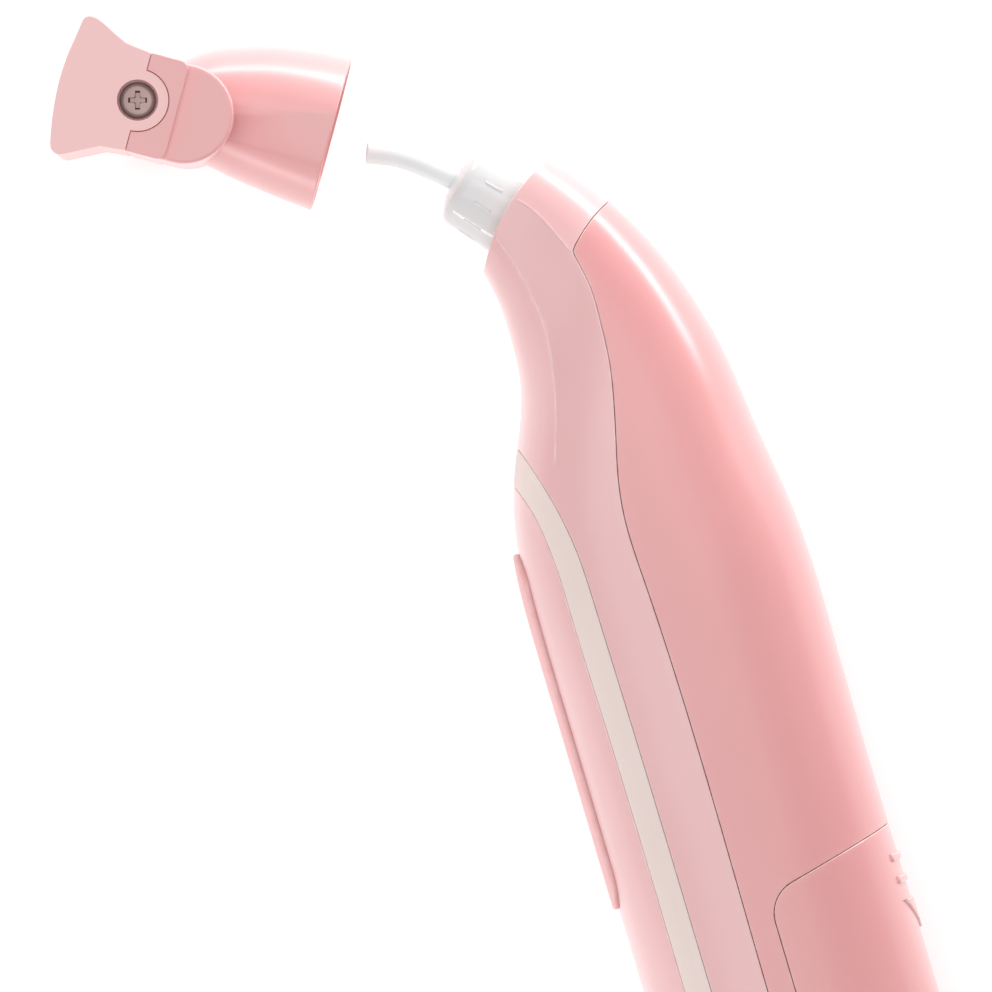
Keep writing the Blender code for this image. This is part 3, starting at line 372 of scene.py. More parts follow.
@dataclass
class HandleForm:
    """The handle's outer surface, as sections between a front point and a back point.

    A place on it is (a, angle): a is the distance down the handle from the rim, and the angle runs
    round the section, from 0 on the back to pi on the front.
    """

    half_width: float = 22.0
    rim_half_width: float = 12.0
    front_x: float = -24.9
    back_x: float = 24.4
    corner: float = 0.03
    rim_bulge: float = 2.0
    bulge_reach: float = 24.0
    rim_centre: tuple = (-7.65, 185.5)
    neck_degrees: float = 133.1
    scoop_depth: float = 0.7
    scoop_run_in: float = 3.0
    scoop_rim_share: float = 0.12
    scoop_fade: float = 26.0
    least_scoop: float = 0.05
    front_scoop_share: float = 1.1
    front_scoop_margin: float = 0.25
    seam_overlap: float = 2.0
    first_crease: tuple = ((-7.6, 188.5), (-4.9, 185.4), (-2.8, 181.5), (-1.2, 177.8), (-0.2, 175.4))
    second_crease: tuple = ((-12.7, 183.2), (-10.9, 178.6), (-9.5, 172.4), (-8.7, 165.8), (-9.1, 159.6),
                            (-10.2, 153.6), (-11.8, 147.7), (-13.7, 142.0))
    seam: tuple = ((12.0, 184.8), (8.3, 183.1), (5.6, 181.6), (3.0, 179.7), (1.2, 178.1), (0.25, 177.15),
                   (-0.2, 176.55), (-0.28, 176.0), (-0.15, 175.3), (0.4, 172.7), (0.9, 169.0), (0.8, 163.0),
                   (0.4, 156.8), (-0.8, 149.9), (-2.4, 143.1), (-4.0, 136.3), (-4.9, 128.4), (-4.7, 119.0),
                   (-4.3, 108.0), (-4.3, 50.0), (-4.3, BELOW_BASE))

    def __post_init__(self) -> None:
        """Fit the sections, then find where the creases run on them."""
        w, r = self.half_width, self.rim_half_width
        stations = [
            ((-16.1, 177.6), (0.8, 193.4), r), ((-15.0, 171.5), (6.0, 187.0), r + 1.3),
            ((-14.8, 165.0), (11.0, 178.9), r + 2.9), ((-15.2, 158.5), (15.0, 170.5), w - 5.5),
            ((-17.1, 151.3), (18.2, 161.0), w - 4.0), ((-20.6, 143.0), (20.4, 151.0), w - 2.6),
            ((-23.3, 134.0), (21.8, 139.0), w - 1.5), ((-24.6, 124.5), (23.5, 127.0), w - 0.7),
            ((self.front_x, 115.0), (self.back_x, 116.0), w - 0.2), ((self.front_x, 95.0), (self.back_x, 95.0), w),
            ((self.front_x, 48.0), (self.back_x, 48.0), w), ((self.front_x, 0.0), (self.back_x, 0.0), w)]
        rows = np.array([front + back + (width,) for front, back, width in stations])
        knots = run_along((rows[:, 0:2] + rows[:, 2:4]) / 2)
        self.length = float(knots[-1])
        self.sections = Spline(knots, rows)
        self.neck = Axes.flat(self.rim_centre, self.neck_degrees)
        table = np.linspace(0, math.pi, 721)
        self._angles, self._shares = table, self.share(table)
        self._creases, self._seam_path = None, None
        creases = [self.trace(c)[0] for c in (self.first_crease, self.second_crease)]
        self._creases = [c[np.argsort(c[:, 0])] for c in creases]

    def share(self, angle: Array) -> Array:
        """Return how far from front (-1) to back (+1) a place at this angle lies."""
        return (1 + self.corner) * np.cos(angle) - self.corner * np.cos(3 * angle)

    def side(self, angle: Array) -> Array:
        """Return how far out to the side, as a share of the half width."""
        return (1 + self.corner) * np.sin(angle) + self.corner * np.sin(3 * angle)

    def flat_point(self, a: Array, share: Array) -> Array:
        """Return the side view's (x, y) of places given by their share, with the rim's bulge.

        Args:
            a: distances down the handle.
            share: how far from front (-1) to back (+1) each place lies.

        Returns:
            Rows of x, y.
        """
        rows = self.sections.at(np.clip(a, 0, self.length))
        middle, half = (rows[:, 0:2] + rows[:, 2:4]) / 2, (rows[:, 2:4] - rows[:, 0:2]) / 2
        rise = self.rim_bulge * np.clip(1 - a / self.bulge_reach, 0, None) ** 2 * (1 - share ** 2)
        bulged = middle + half * share[:, None] + rise[:, None] * np.array(self.neck.u[:2])
        past = np.clip(a - self.length, 0, None)
        return bulged - np.column_stack([np.zeros_like(past), past])

    def scoop(self, a: Array, angle: Array) -> Array:
        """Return how deep the neck's shallow scoops are, between its two creases and in front of them.

        Args:
            a: distances down the handle.
            angle: angles round the section.

        Returns:
            A depth for each place.
        """
        if self._creases is None:
            return np.zeros_like(a)
        first, second = self._creases
        upper = np.interp(a, first[:, 0], first[:, 1])
        if self._seam_path is not None:
            upper = np.where(a > first[-1, 0], np.interp(a, *self._seam_path.T), upper)
        lower = np.interp(a, second[:, 0], second[:, 1])
        here = np.where(angle > math.pi, 2 * math.pi - angle, np.abs(angle))
        t = np.clip((here - upper) / np.maximum(lower - upper, self.least_scoop), 0, 1)
        front_width = np.maximum(math.pi - self.front_scoop_margin - lower, self.least_scoop)
        front = np.clip((here - lower) / front_width, 0, 1)
        fade = np.clip((second[-1, 0] - a) / self.scoop_fade, 0, 1)
        fade = fade * fade * (3 - 2 * fade)
        fade = fade * np.clip(a / self.scoop_run_in, self.scoop_rim_share, 1)
        return fade * self.scoop_depth * (4 * t * (1 - t) + self.front_scoop_share * front * (1 - front) ** 2 * 4)

    def points(self, a: Array, angle: Array) -> Array:
        """Return design points of places on the surface.

        Args:
            a: distances down the handle.
            angle: angles round the section.

        Returns:
            Rows of x, y, z.
        """
        share, side = self.share(angle), self.side(angle)
        flat = self.flat_point(a, share)
        width = self.sections.at(np.clip(a, 0, self.length))[:, 4]
        result = np.column_stack([flat, width * side])
        depth = self.scoop(a, angle)
        if np.any(depth > 0):
            result[:, 2] -= depth * side
            result[:, :2] -= (depth * share)[:, None] * np.array(self.neck.v[:2])
        return result

    def normals(self, a: Array, angle: Array) -> Array:
        """Return outward unit normals of places on the surface.

        Args:
            a: distances down the handle.
            angle: angles round the section.

        Returns:
            Rows of x, y, z.
        """
        small = 0.02
        small_turn = small / 20
        along = self.points(a + small, angle) - self.points(a - small, angle)
        around = self.points(a, angle + small_turn) - self.points(a, angle - small_turn)
        normal = np.cross(along, around)
        normal /= np.linalg.norm(normal, axis=1)[:, None]
        rows = self.sections.at(np.clip(a, 0, self.length))
        centre = np.column_stack([(rows[:, 0:2] + rows[:, 2:4]) / 2, np.zeros(len(rows))])
        out = np.sum(normal * (self.points(a, angle) - centre), axis=1)
        return normal * np.sign(out)[:, None]

    def locate(self, flat: Array) -> Array:
        """Find places from the side view.

        Args:
            flat: (x, y) rows of the side view.

        Returns:
            Rows of (a, share), where a share beyond -1 or 1 lies outside the handle.
        """
        small, small_share, far_penalty = 0.01, 0.001, 0.01
        grid = np.linspace(0, self.length, 400)
        rows = self.sections.at(grid)
        middle = (rows[:, 0:2] + rows[:, 2:4]) / 2
        half = (rows[:, 2:4] - rows[:, 0:2]) / 2
        found = []
        for point in flat:
            offset = point - middle
            miss = np.abs(offset[:, 0] * half[:, 1] - offset[:, 1] * half[:, 0]) / np.linalg.norm(half, axis=1)
            best = int(np.argmin(miss + far_penalty * np.linalg.norm(offset, axis=1)))
            found.append((grid[best], float(offset[best] @ half[best] / (half[best] @ half[best]))))
        place = np.array(found)
        for _ in range(8):
            a, share = place[:, 0], place[:, 1]
            here = self.flat_point(a, share)
            by_a = (self.flat_point(a + small, share) - here) / small
            by_share = (self.flat_point(a, share + small_share) - here) / small_share
            miss = flat - here
            scale = by_a[:, 0] * by_share[:, 1] - by_a[:, 1] * by_share[:, 0]
            place = place + np.column_stack([(miss[:, 0] * by_share[:, 1] - miss[:, 1] * by_share[:, 0]) / scale,
                                             (by_a[:, 0] * miss[:, 1] - by_a[:, 1] * miss[:, 0]) / scale])
        return place

    def trace(self, points: Sequence, shift: float = 0.0, straight: bool = False) -> tuple:
        """Lay a side-view line on the surface, from where it first enters the handle.

        Args:
            points: the line's points, from the one outside, or at the crossing, inwards.
            shift: how far to move the line to its left.
            straight: whether the line runs straight between its points.

        Returns:
            Rows of (a, angle), and their design points.
        """
        if straight:
            data = np.array(points, float)
            measure = run_along(data)
            end = measure[-1]

            def sample(where: Array) -> Array:
                """Return the straight-sided line's points at these distances along it."""
                return np.stack([np.interp(where, measure, data[:, k]) for k in range(2)], axis=1)
        else:
            line = curve_through(points)
            sample, end = line.at, line.knots[-1]
        coarse = np.linspace(0, end, 240)
        place = self.locate(self.moved(sample, coarse, shift))
        within = np.abs(place[:, 1]) <= 1
        first = int(np.argmax(within))
        start = 0.0
        if first:
            over, under = abs(place[first - 1, 1]) - 1, 1 - abs(place[first, 1])
            start = coarse[first - 1] + (coarse[first] - coarse[first - 1]) * over / (over + under)
        fine = start + (end - start) * np.linspace(0, 1, 420) ** 2
        place = self.locate(self.moved(sample, fine, shift))
        place[:, 1] = np.clip(place[:, 1], -1, 1)
        if first:
            place[0, 1] = math.copysign(1.0, place[0, 1])
        place[:, 0] = np.clip(place[:, 0], 0, self.length)
        kept = place[:, 0] < self.length - 1e-6
        if not kept.all():
            place = place[:int(np.argmin(kept)) + 1]
        angle = np.interp(-place[:, 1], -self._shares, self._angles)
        path = np.column_stack([place[:, 0], angle])
        return path, self.points(path[:, 0], path[:, 1])

    @staticmethod
    def moved(sample: Callable, where: Array, shift: float) -> Array:
        """Sample a line and move it to its left.

        Args:
            sample: gives the line's points at distances along it.
            where: the distances to sample at.
            shift: how far to move it.

        Returns:
            Rows of x, y.
        """
        here = sample(where)
        if not shift:
            return here
        small = 0.05
        ahead = sample(np.minimum(where + small, where[-1])) - sample(np.maximum(where - small, where[0]))
        ahead /= np.maximum(np.linalg.norm(ahead, axis=1), TINY)[:, None]
        return here + np.column_stack([-ahead[:, 1], ahead[:, 0]]) * shift

    def edge_line(self, points: Sequence, shift: float, spacing: float = 1.0, straight: bool = False) -> Array:
        """Lay a side-view line on the surface as trace does, and resample it evenly.

        Args:
            points: the line's points.
            shift: how far to move the line to its left.
            spacing: wanted distance between two places.
            straight: whether the line runs straight between its points.

        Returns:
            Rows of (a, angle).
        """
        path, where = self.trace(points, shift, straight)
        return spaced(path, run_along(where), spacing)

    def finish_creases(self) -> None:
        """Find the seam, which bounds the scoop below the first crease."""
        path = self.trace(self.seam)[0]
        order = path[np.argsort(path[:, 0])]
        self._seam_path = order[order[:, 0] >= self._creases[0][-1, 0] - self.seam_overlap]


@dataclass
class SkinPatch:
    """A moulded skin: half of it lies in a loop of (a, angle) places, and the mirror gives the rest."""

    form: HandleForm
    loop: Array
    wall: float = 1.6
    fillet: float = 0.22
    spacing: float = 1.7
    lift: Optional[Callable] = None
    round_steps: int = 4
    ridges: tuple = ()
    ridge_rises: tuple = (0.0, 0.45, 1.0, 0.45, 0.0)
    ridge_height: float = 0.1
    ridge_half: float = 0.34
    ridge_margin: float = 0.7
    clear_share: float = 0.5
    # Edge value on the loop itself, for the pale worn edges with painted highlight.
    loop_wear_and_highlight: float = 0.1

    def lifted(self, place: Array) -> tuple:
        """Return the surface's points and normals, raised by the patch's lift.

        Args:
            place: rows of (a, angle).

        Returns:
            Design points, and their outward unit normals.
        """
        points = self.form.points(place[:, 0], place[:, 1])
        normals = self.form.normals(place[:, 0], place[:, 1])
        if self.lift is not None:
            points = points + normals * self.lift(place)[:, None]
        return points, normals

    def flat(self, place: Array) -> Array:
        """Return the unrolled position of places."""
        return np.column_stack([place[:, 0], place[:, 1] * UNROLL])

    def lattice(self) -> Array:
        """Return staggered places inside the loop, clear of its edge.

        Returns:
            Rows of (a, angle).
        """
        flat = self.flat(self.loop)
        low, high = flat.min(axis=0), flat.max(axis=0)
        rows = []
        for k, a in enumerate(np.arange(low[0] + self.spacing / 2, high[0], self.spacing)):
            across = np.arange(low[1] + self.spacing * (0.5 if k % 2 else 1.0), high[1], self.spacing)
            rows.append(np.column_stack([np.full(len(across), a), across]))
        grid = np.concatenate(rows)
        grid = grid[inside(grid, flat)]
        start, end = flat, np.roll(flat, -1, axis=0)
        for ridge in self.ridges:
            line = self.flat(ridge)
            start, end = np.concatenate([start, line[:-1]]), np.concatenate([end, line[1:]])
        run = end - start
        squared = np.maximum(np.sum(run ** 2, axis=1), 1e-12)
        keep = np.ones(len(grid), bool)
        for i in range(len(start)):
            offset = grid - start[i]
            t = np.clip(offset @ run[i] / squared[i], 0, 1)
            keep &= np.linalg.norm(offset - t[:, None] * run[i], axis=1) > self.clear_share * self.spacing
        grid = grid[keep]
        return np.column_stack([grid[:, 0], grid[:, 1] / UNROLL])

    def ridge_lines(self) -> tuple:
        """Lay each ridge's crest, with two lines on both its sides.

        Returns:
            The lines as rows of (a, angle), the share of the ridge's height along each, and the edges.
        """
        lines, rises, edges = [], [], []
        start = len(self.loop)
        for ridge in self.ridges:
            flat = self.flat(ridge)
            away = np.linalg.norm(flat[:, None] - self.flat(self.loop)[None], axis=2).min(axis=1)
            flat = flat[away > self.ridge_margin]
            along = np.gradient(flat, axis=0)
            along /= np.linalg.norm(along, axis=1)[:, None]
            left = np.column_stack([-along[:, 1], along[:, 0]])
            for step, rise in enumerate(self.ridge_rises, -2):
                moved = flat + left * step * self.ridge_half / 2
                lines.append(np.column_stack([moved[:, 0], moved[:, 1] / UNROLL]))
                rises.append(np.full(len(flat), rise))
                edges += [(start + i, start + i + 1) for i in range(len(flat) - 1)]
                start += len(flat)
        return lines, rises, edges

    def triangles(self, place: Array, count: int, extra: list) -> list:
        """Triangulate places, of which the first ones are the loop, keeping what lies inside it.

        Args:
            place: rows of (a, angle).
            count: how many of them are the loop's.
            extra: pairs of places that an edge has to join.

        Returns:
            Triples of indices.
        """
        flat = self.flat(place)
        edges = [(i, (i + 1) % count) for i in range(count)] + extra
        made = delaunay_2d_cdt([Vector(p) for p in flat], edges, [], 0, WELD)
        ids = [source[0] if source else -1 for source in made[3]]
        faces = [tuple(ids[i] for i in face) for face in made[2]]
        faces = [face for face in faces if min(face) >= 0]
        middles = np.array([flat[list(face)].mean(axis=0) for face in faces])
        kept = inside(middles, flat[:count])
        return [face for face, good in zip(faces, kept) if good]

    def on_mirror(self) -> tuple:
        """Tell which of the loop's places lie on the back's and on the front's middle line."""
        return np.abs(self.loop[:, 1]) < TINY, np.abs(self.loop[:, 1] - math.pi) < TINY

    def free_edges(self) -> list:
        """Tell of each of the loop's steps whether it is an open edge, and not one at the mirror plane."""
        middle = [on & np.roll(on, -1) for on in self.on_mirror()]
        return list(~(middle[0] | middle[1]))

    def outward(self, rim: Array, normal: Array, free: list) -> Array:
        """Find the direction out of the patch, along the surface, at each of the loop's places.

        Args:
            rim: the loop's design points.
            normal: the surface's unit normals there.
            free: whether each step of the loop is an open edge.

        Returns:
            Unit vectors, level where the loop meets the mirror plane.
        """
        count = len(rim)
        after, before = np.roll(np.arange(count), -1), np.roll(np.arange(count), 1)
        mirror = np.array([1.0, 1.0, -1.0])
        ahead = np.zeros_like(rim)
        for i in range(count):
            forward = rim[after[i]] if free[i] else (rim[before[i]] * mirror if free[before[i]] else rim[after[i]])
            backward = rim[before[i]] if free[before[i]] else (rim[after[i]] * mirror if free[i] else rim[before[i]])
            ahead[i] = forward - backward
        ahead /= np.maximum(np.linalg.norm(ahead, axis=1), TINY)[:, None]
        out = np.cross(ahead, normal)
        flat = self.flat(self.loop)
        area = np.sum(flat[:, 0] * np.roll(flat[:, 1], -1) - np.roll(flat[:, 0], -1) * flat[:, 1])
        a, angle = self.loop[:1].T
        here = self.form.points(a, angle)
        down, around = self.form.points(a + 0.1, angle) - here, self.form.points(a, angle + 0.01) - here
        hand = np.sign(np.dot(np.cross(down, around)[0], normal[0]))
        out *= np.sign(area) * hand
        out[np.any(self.on_mirror(), axis=0), 2] = 0.0
        return out / np.maximum(np.linalg.norm(out, axis=1), TINY)[:, None]

    def half(self) -> tuple:
        """Build the half on the positive side.

        Returns:
            Points, faces and each point's edge value: its nearness to an edge, or its share of a crease's crest, which
            lays worn edges and painted highlight.
        """
        count = len(self.loop)
        lines, rises, extra = self.ridge_lines()
        place = np.concatenate([self.loop] + lines + [self.lattice()])
        top, normals = self.lifted(place)
        crest = np.zeros(len(place))
        if lines:
            crest[count:count + sum(map(len, lines))] = np.concatenate(rises)
            top = top + normals * (crest * self.ridge_height)[:, None]
        plane = np.any(self.on_mirror(), axis=0)
        top[:count][plane, 2] = 0.0
        normals[:count][plane, 2] = 0.0
        rim = top[:count].copy()
        normal = normals[:count] / np.linalg.norm(normals[:count], axis=1)[:, None]
        after, before = np.roll(np.arange(count), -1), np.roll(np.arange(count), 1)
        free = self.free_edges()
        out = self.outward(rim, normal, free)
        edged = np.array([free[i] or free[before[i]] for i in range(count)])
        rings = []
        for step in range(self.round_steps + 1):
            turn = math.pi / 2 * step / self.round_steps
            move = out * self.fillet * (math.sin(turn) - 1) - normal * self.fillet * (1 - math.cos(turn))
            rings.append(rim + np.where(edged[:, None], move, 0.0))
        rings.append(rim - normal * self.wall)
        top[:count] = rings[0]
        bottom = np.concatenate([rings[-1], top[count:] - normals[count:] * self.wall])
        faces = self.triangles(place, count, extra)
        points = [top, bottom]
        starts = [0, len(top)]
        for ring in rings[1:-1]:
            starts.append(sum(len(block) for block in points))
            points.append(ring)
        order = [starts[0]] + starts[2:] + [starts[1]]
        sides = []
        for i in range(count):
            if free[i]:
                j = int(after[i])
                sides += [(low + i, low + j, high + j, high + i) for low, high in zip(order, order[1:])]
        under = [tuple(starts[1] + i for i in face[::-1]) for face in faces]
        everything = np.concatenate(points)
        edge = np.zeros(len(everything))
        # The crease crests take their share of the ridge's height as edge value: a painted highlight line along each
        # crease.
        edge[:len(crest)] = crest
        # The loop and the fillet rings take edge values too: the pale colour there is worn edges with a painted
        # highlight on the rounded edges.
        edge[:count] = self.loop_wear_and_highlight
        for start in starts[2:]:
            edge[start:start + count] = 1.0
        return everything, faces + under + sides, edge

    def build(self, name: str) -> bpy.types.Object:
        """Build both halves and weld them at the mirror plane.

        Args:
            name: the piece's name.

        Returns:
            The new piece.
        """
        points, faces, edge = self.half()
        other = points * np.array([1.0, 1.0, -1.0])
        shift = len(points)
        twin = [tuple(i + shift for i in face[::-1]) for face in faces]
        used = {i for face in faces for i in face}
        order = sorted(used) + [i + shift for i in sorted(used)]
        index = {old: new for new, old in enumerate(order)}
        both = np.concatenate([points, other])[order]
        edges = np.concatenate([edge, edge])[order]
        return new_piece(name, both, [tuple(index[i] for i in f) for f in faces + twin], edges)


def ride_as(piece: bpy.types.Object, body: Body, slot: Slot, *nodes: str) -> None:
    """Ride a piece on its body, name its slot and the CAD nodes that it stands for.

    Args:
        piece: the piece.
        body: the body that it moves with.
        slot: the material slot that it takes its finish from.
        nodes: names of the CAD nodes that it replaces.
    """
    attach(piece, body.value)
    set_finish(piece, slot.value)
    if nodes:
        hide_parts(*nodes)


def weigh_normals(piece: bpy.types.Object, sharp_degrees: float = 180.0) -> None:
    """Shade a piece by the areas of its faces, with edges over an angle left sharp.

    Args:
        piece: the piece.
        sharp_degrees: the angle; at 180 no edge is sharp.
    """
    if sharp_degrees < 180.0:
        piece.data.set_sharp_from_angle(angle=math.radians(sharp_degrees))
    change = piece.modifiers.new("shading", "WEIGHTED_NORMAL")
    change.mode = "FACE_AREA"
    change.weight = 80
    change.keep_sharp = sharp_degrees < 180.0


def combine(target: bpy.types.Object, tools: Iterable[bpy.types.Object], operation: str) -> bpy.types.Object:
    """Change a piece by tools with exact Booleans, and remove the tools.

    Args:
        target: the piece that stays.
        tools: the pieces that are used up.
        operation: a Boolean modifier's operation.

    Returns:
        The target.
    """
    for tool in tools:
        change = target.modifiers.new("change", "BOOLEAN")
        change.operation = operation
        change.solver = "EXACT"
        change.object = tool
        graph = bpy.context.evaluated_depsgraph_get()
        graph.update()
        result = bpy.data.meshes.new_from_object(target.evaluated_get(graph))
        target.modifiers.clear()
        target.data = result
        bpy.data.objects.remove(tool)
    return target


def prism(name: str, outline: Sequence, low: float, high: float, axes: Axes, fillet: float = 0.0,
          steps: int = 5) -> bpy.types.Object:
    """Extrude an outline along w, with its two faces' edges rounded.

    Args:
        name: the object's name.
        outline: (u, v) pairs, in order.
        low: where the lower face lies along w.
        high: where the upper face lies along w.
        axes: the axes that u, v and w belong to.
        fillet: radius of the rounded edges.
        steps: facets in each rounded edge.

    Returns:
        The new object.
    """
    data = np.array(outline, float)
    ahead = np.roll(data, -1, axis=0) - data
    behind = data - np.roll(data, 1, axis=0)
    ahead /= np.linalg.norm(ahead, axis=1)[:, None]
    behind /= np.linalg.norm(behind, axis=1)[:, None]
    area = np.sum(data[:, 0] * np.roll(data[:, 1], -1) - np.roll(data[:, 0], -1) * data[:, 1])
    along = ahead + behind
    along /= np.linalg.norm(along, axis=1)[:, None]
    out = np.column_stack([along[:, 1], -along[:, 0]]) * np.sign(area)
    cosine = np.clip(np.sum(out * np.column_stack([ahead[:, 1], -ahead[:, 0]]) * np.sign(area), axis=1), 0.4, 1)
    out /= cosine[:, None]
    levels = [(0.0, fillet + 0.01)] if fillet else [(0.0, 0.0)]
    if fillet:
        for turn in np.linspace(0, math.pi / 2, steps + 1):
            levels.append((fillet * (1 - math.cos(turn)), fillet * (1 - math.sin(turn))))
        levels.append((fillet * 1.15, 0.0))
    rings = []
    for side, end in ((-1, low), (1, high)):
        for inset, depth in (levels[::-1] if side < 0 else levels):
            flat = data - out * inset
            rings.append(axes.at(flat[:, 0], flat[:, 1], np.full(len(flat), end - side * depth)))
    return new_piece(name, *loft(rings))


def swept(name: str, path: Array, radius: float, bore: float, sides: int = 32) -> bpy.types.Object:
    """Sweep an open tube along a path, with its two ends rounded over.

    Args:
        name: the object's name.
        path: design points.
        radius: the tube's outer radius.
        bore: its inner radius.
        sides: steps around.

    Returns:
        The new object.
    """
    ahead = np.gradient(path, axis=0)
    ahead /= np.linalg.norm(ahead, axis=1)[:, None]
    side = np.array([0.0, 0.0, 1.0])
    angles = np.arange(sides) * 2 * math.pi / sides
    wall = (radius - bore) / 2
    outer, inner = [], []
    for point, direction in zip(path, ahead):
        side = side - direction * (side @ direction)
        side /= np.linalg.norm(side)
        around = np.outer(np.cos(angles), side) + np.outer(np.sin(angles), np.cross(direction, side))
        outer.append(point + around * radius)
        inner.append(point + around * bore)
    lip = []
    for turn in np.linspace(0, math.pi, 9)[1:-1]:
        lip.append(point + direction * wall * math.sin(turn) + around * (bore + wall + wall * math.cos(turn)))
    return new_piece(name, *loft(outer + lip + inner[::-1], closed=True))


# ---- handle pieces

@dataclass
class Shells:
    """The handle's moulded skins: both shells, the trim strip and the panel inside it."""

    form: HandleForm
    gap: float = 0.09
    front_wall: float = 2.9
    rear_wall: float = 2.0
    skin_wall: float = 1.2
    bed_wall: float = 1.4
    bed_drop: float = 1.5
    bed_fillet: float = 0.05
    bed_spacing: float = 2.6
    shell_fillet: float = 0.24
    skin_fillet: float = 0.2
    skin_spacing: float = 1.5
    window_clearance: float = 0.3
    trim_outer: tuple = ((-25.2, 164.6), (-22.5, 157.0), (-19.0, 146.0), (-17.0, 139.6), (-15.4, 133.0),
                         (-14.4, 125.8), (-14.1, 117.0), (-13.9, 100.0), (-13.7, 50.0),
                         (-13.7, BELOW_BASE))
    trim_width: float = 4.4
    trim_inner_top: tuple = ((-27.6, 156.6), (-24.6, 149.0), (-21.6, 140.3), (-20.0, 135.6), (-18.9, 128.9),
                             (-18.5, 122.5))
    trigger_top: float = 129.3
    trigger_bottom: float = 64.3
    trigger_half_width: float = 7.2
    tank_edge_x: float = 0.3
    tank_line_start: float = 32.0
    tank_corner_y: float = 60.2
    tank_top_at_back: tuple = (24.2, 65.9)
    tank_corner_radius: float = 6.0
    lug_x: float = -10.4
    lug_z: float = 12.5
    lug_half: float = 3.0
    lug_inset: float = 3.3
    lug_levels: tuple = (3.4, 12.0)

    def trim_inner(self) -> list:
        """Return the trim strip's inner edge: its curved top, then parallel to the outer edge."""
        straight = [(x - self.trim_width, y) for x, y in self.trim_outer[6:]]
        return list(self.trim_inner_top) + straight

    def slot_loop(self, grow: float) -> Array:
        """Return half of the trigger's round-ended slot, from its top to its bottom on the front.

        Args:
            grow: how much wider all round than the slot's true size.

        Returns:
            Rows of (a, angle).
        """
        radius = self.trigger_half_width
        top, bottom = self.trigger_top - radius, self.trigger_bottom + radius
        radius += grow
        steps = 26
        upper = arc((0.0, top), radius, 90, 0, steps)
        count = int((top - bottom) / 1.2)
        side = [(radius, top + (bottom - top) * k / count) for k in range(1, count)]
        lower = arc((0.0, bottom), radius, 0, -90, steps)
        return self.from_front(np.array(upper + side + lower))

    def from_front(self, flat: Array) -> Array:
        """Find places on the front.

        Args:
            flat: rows of (z, y).

        Returns:
            Rows of (a, angle).
        """
        form = self.form
        sides = np.linspace(math.pi / 2, math.pi, 400)
        table = form.side(sides)
        a = form.length - flat[:, 1]
        angle = np.full(len(a), math.pi)
        for _ in range(12):
            width = form.sections.at(np.clip(a, 0, form.length))[:, 4]
            angle = np.interp(-flat[:, 0] / width, -table, sides)
            here = form.points(a, angle)[:, 1]
            a = a + (here - flat[:, 1])
        angle[np.abs(flat[:, 0]) < ON_MIDDLE] = math.pi
        return np.column_stack([a, angle])

    def tank_line(self, shift: float) -> list:
        """Return the tank cover's edge from the back, round its corner and down to the base.

        Args:
            shift: how far outside the cover's true edge the line runs.

        Returns:
            Side-view points.
        """
        rise = self.tank_top_at_back[1] - self.tank_corner_y
        slope = math.atan2(rise, self.tank_top_at_back[0] - self.tank_edge_x)
        radius = self.tank_corner_radius
        centre = (self.tank_edge_x + radius, self.tank_corner_y + radius * math.tan(slope) - radius / math.cos(slope))
        corner = arc(centre, radius + shift, 90 + math.degrees(slope), 180, 16)
        start = (self.tank_line_start, corner[0][1] + (self.tank_line_start - corner[0][0]) * math.tan(slope))
        return [start] + corner + [(self.tank_edge_x - shift, BELOW_BASE)]

    def line(self, points: Sequence, shift: float, straight: bool = False) -> Array:
        """Return places along a line drawn in the side view."""
        return self.form.edge_line(points, shift, 1.0, straight)

    def base_row(self, start: float, end: float) -> Array:
        """Return places along the base between two angles, without its ends."""
        count = max(2, int(abs(end - start) * 22))
        return np.column_stack([np.full(count - 1, self.form.length), np.linspace(start, end, count + 1)[1:-1]])

    def mirror_row(self, start: float, end: float, angle: float) -> Array:
        """Return places along the mirror plane between two distances, without its ends."""
        count = max(2, int(abs(end - start) / 1.4))
        return np.column_stack([np.linspace(start, end, count + 1)[1:-1], np.full(count - 1, angle)])

    def rim_row(self) -> Array:
        """Return places along the rim, from the back to the front."""
        return np.column_stack([np.zeros(45), np.linspace(0, math.pi, 45)])

    def ridges(self) -> tuple:
        """Return the places of the neck's two creases, clear of the rim and of the seam.

        Returns:
            A line of (a, angle) rows for each crease.
        """
        first = self.line(self.form.first_crease, 0.0)
        second = self.line(self.form.second_crease, 0.0)
        clear = 0.5
        return first[first[:, 0] > clear][:-1], second[second[:, 0] > clear]

    def build_front(self) -> list:
        """Build the front shell, and the bed under the trim strip and panel.

        Returns:
            The shell, its bed and its two screw lugs.
        """
        half = self.gap / 2
        seam = self.line(self.form.seam, -half)
        outer = self.line(self.trim_outer, half)
        rim = self.rim_row()
        loop = np.concatenate([
            rim, self.mirror_row(0, outer[0, 0], math.pi), outer, self.base_row(outer[-1, 1], seam[-1, 1]),
            seam[::-1], self.mirror_row(seam[0, 0], 0, 0.0)])
        shell = SkinPatch(self.form, loop, self.front_wall, self.shell_fillet,
                          ridges=self.ridges()).build("front_shell_skin")
        edge = self.line(self.trim_outer, -half)
        window = self.slot_loop(self.window_clearance)
        loop = np.concatenate([
            edge, self.base_row(edge[-1, 1], math.pi), [[self.form.length, math.pi]],
            self.mirror_row(self.form.length, window[-1, 0], math.pi), window[::-1],
            self.mirror_row(window[0, 0], edge[0, 0], math.pi)])
        bed = SkinPatch(self.form, loop, self.bed_wall, self.bed_fillet, self.bed_spacing,
                        lambda place: np.full(len(place), -self.bed_drop), round_steps=1).build("front_shell_bed")
        return [shell, bed] + self.build_lugs()

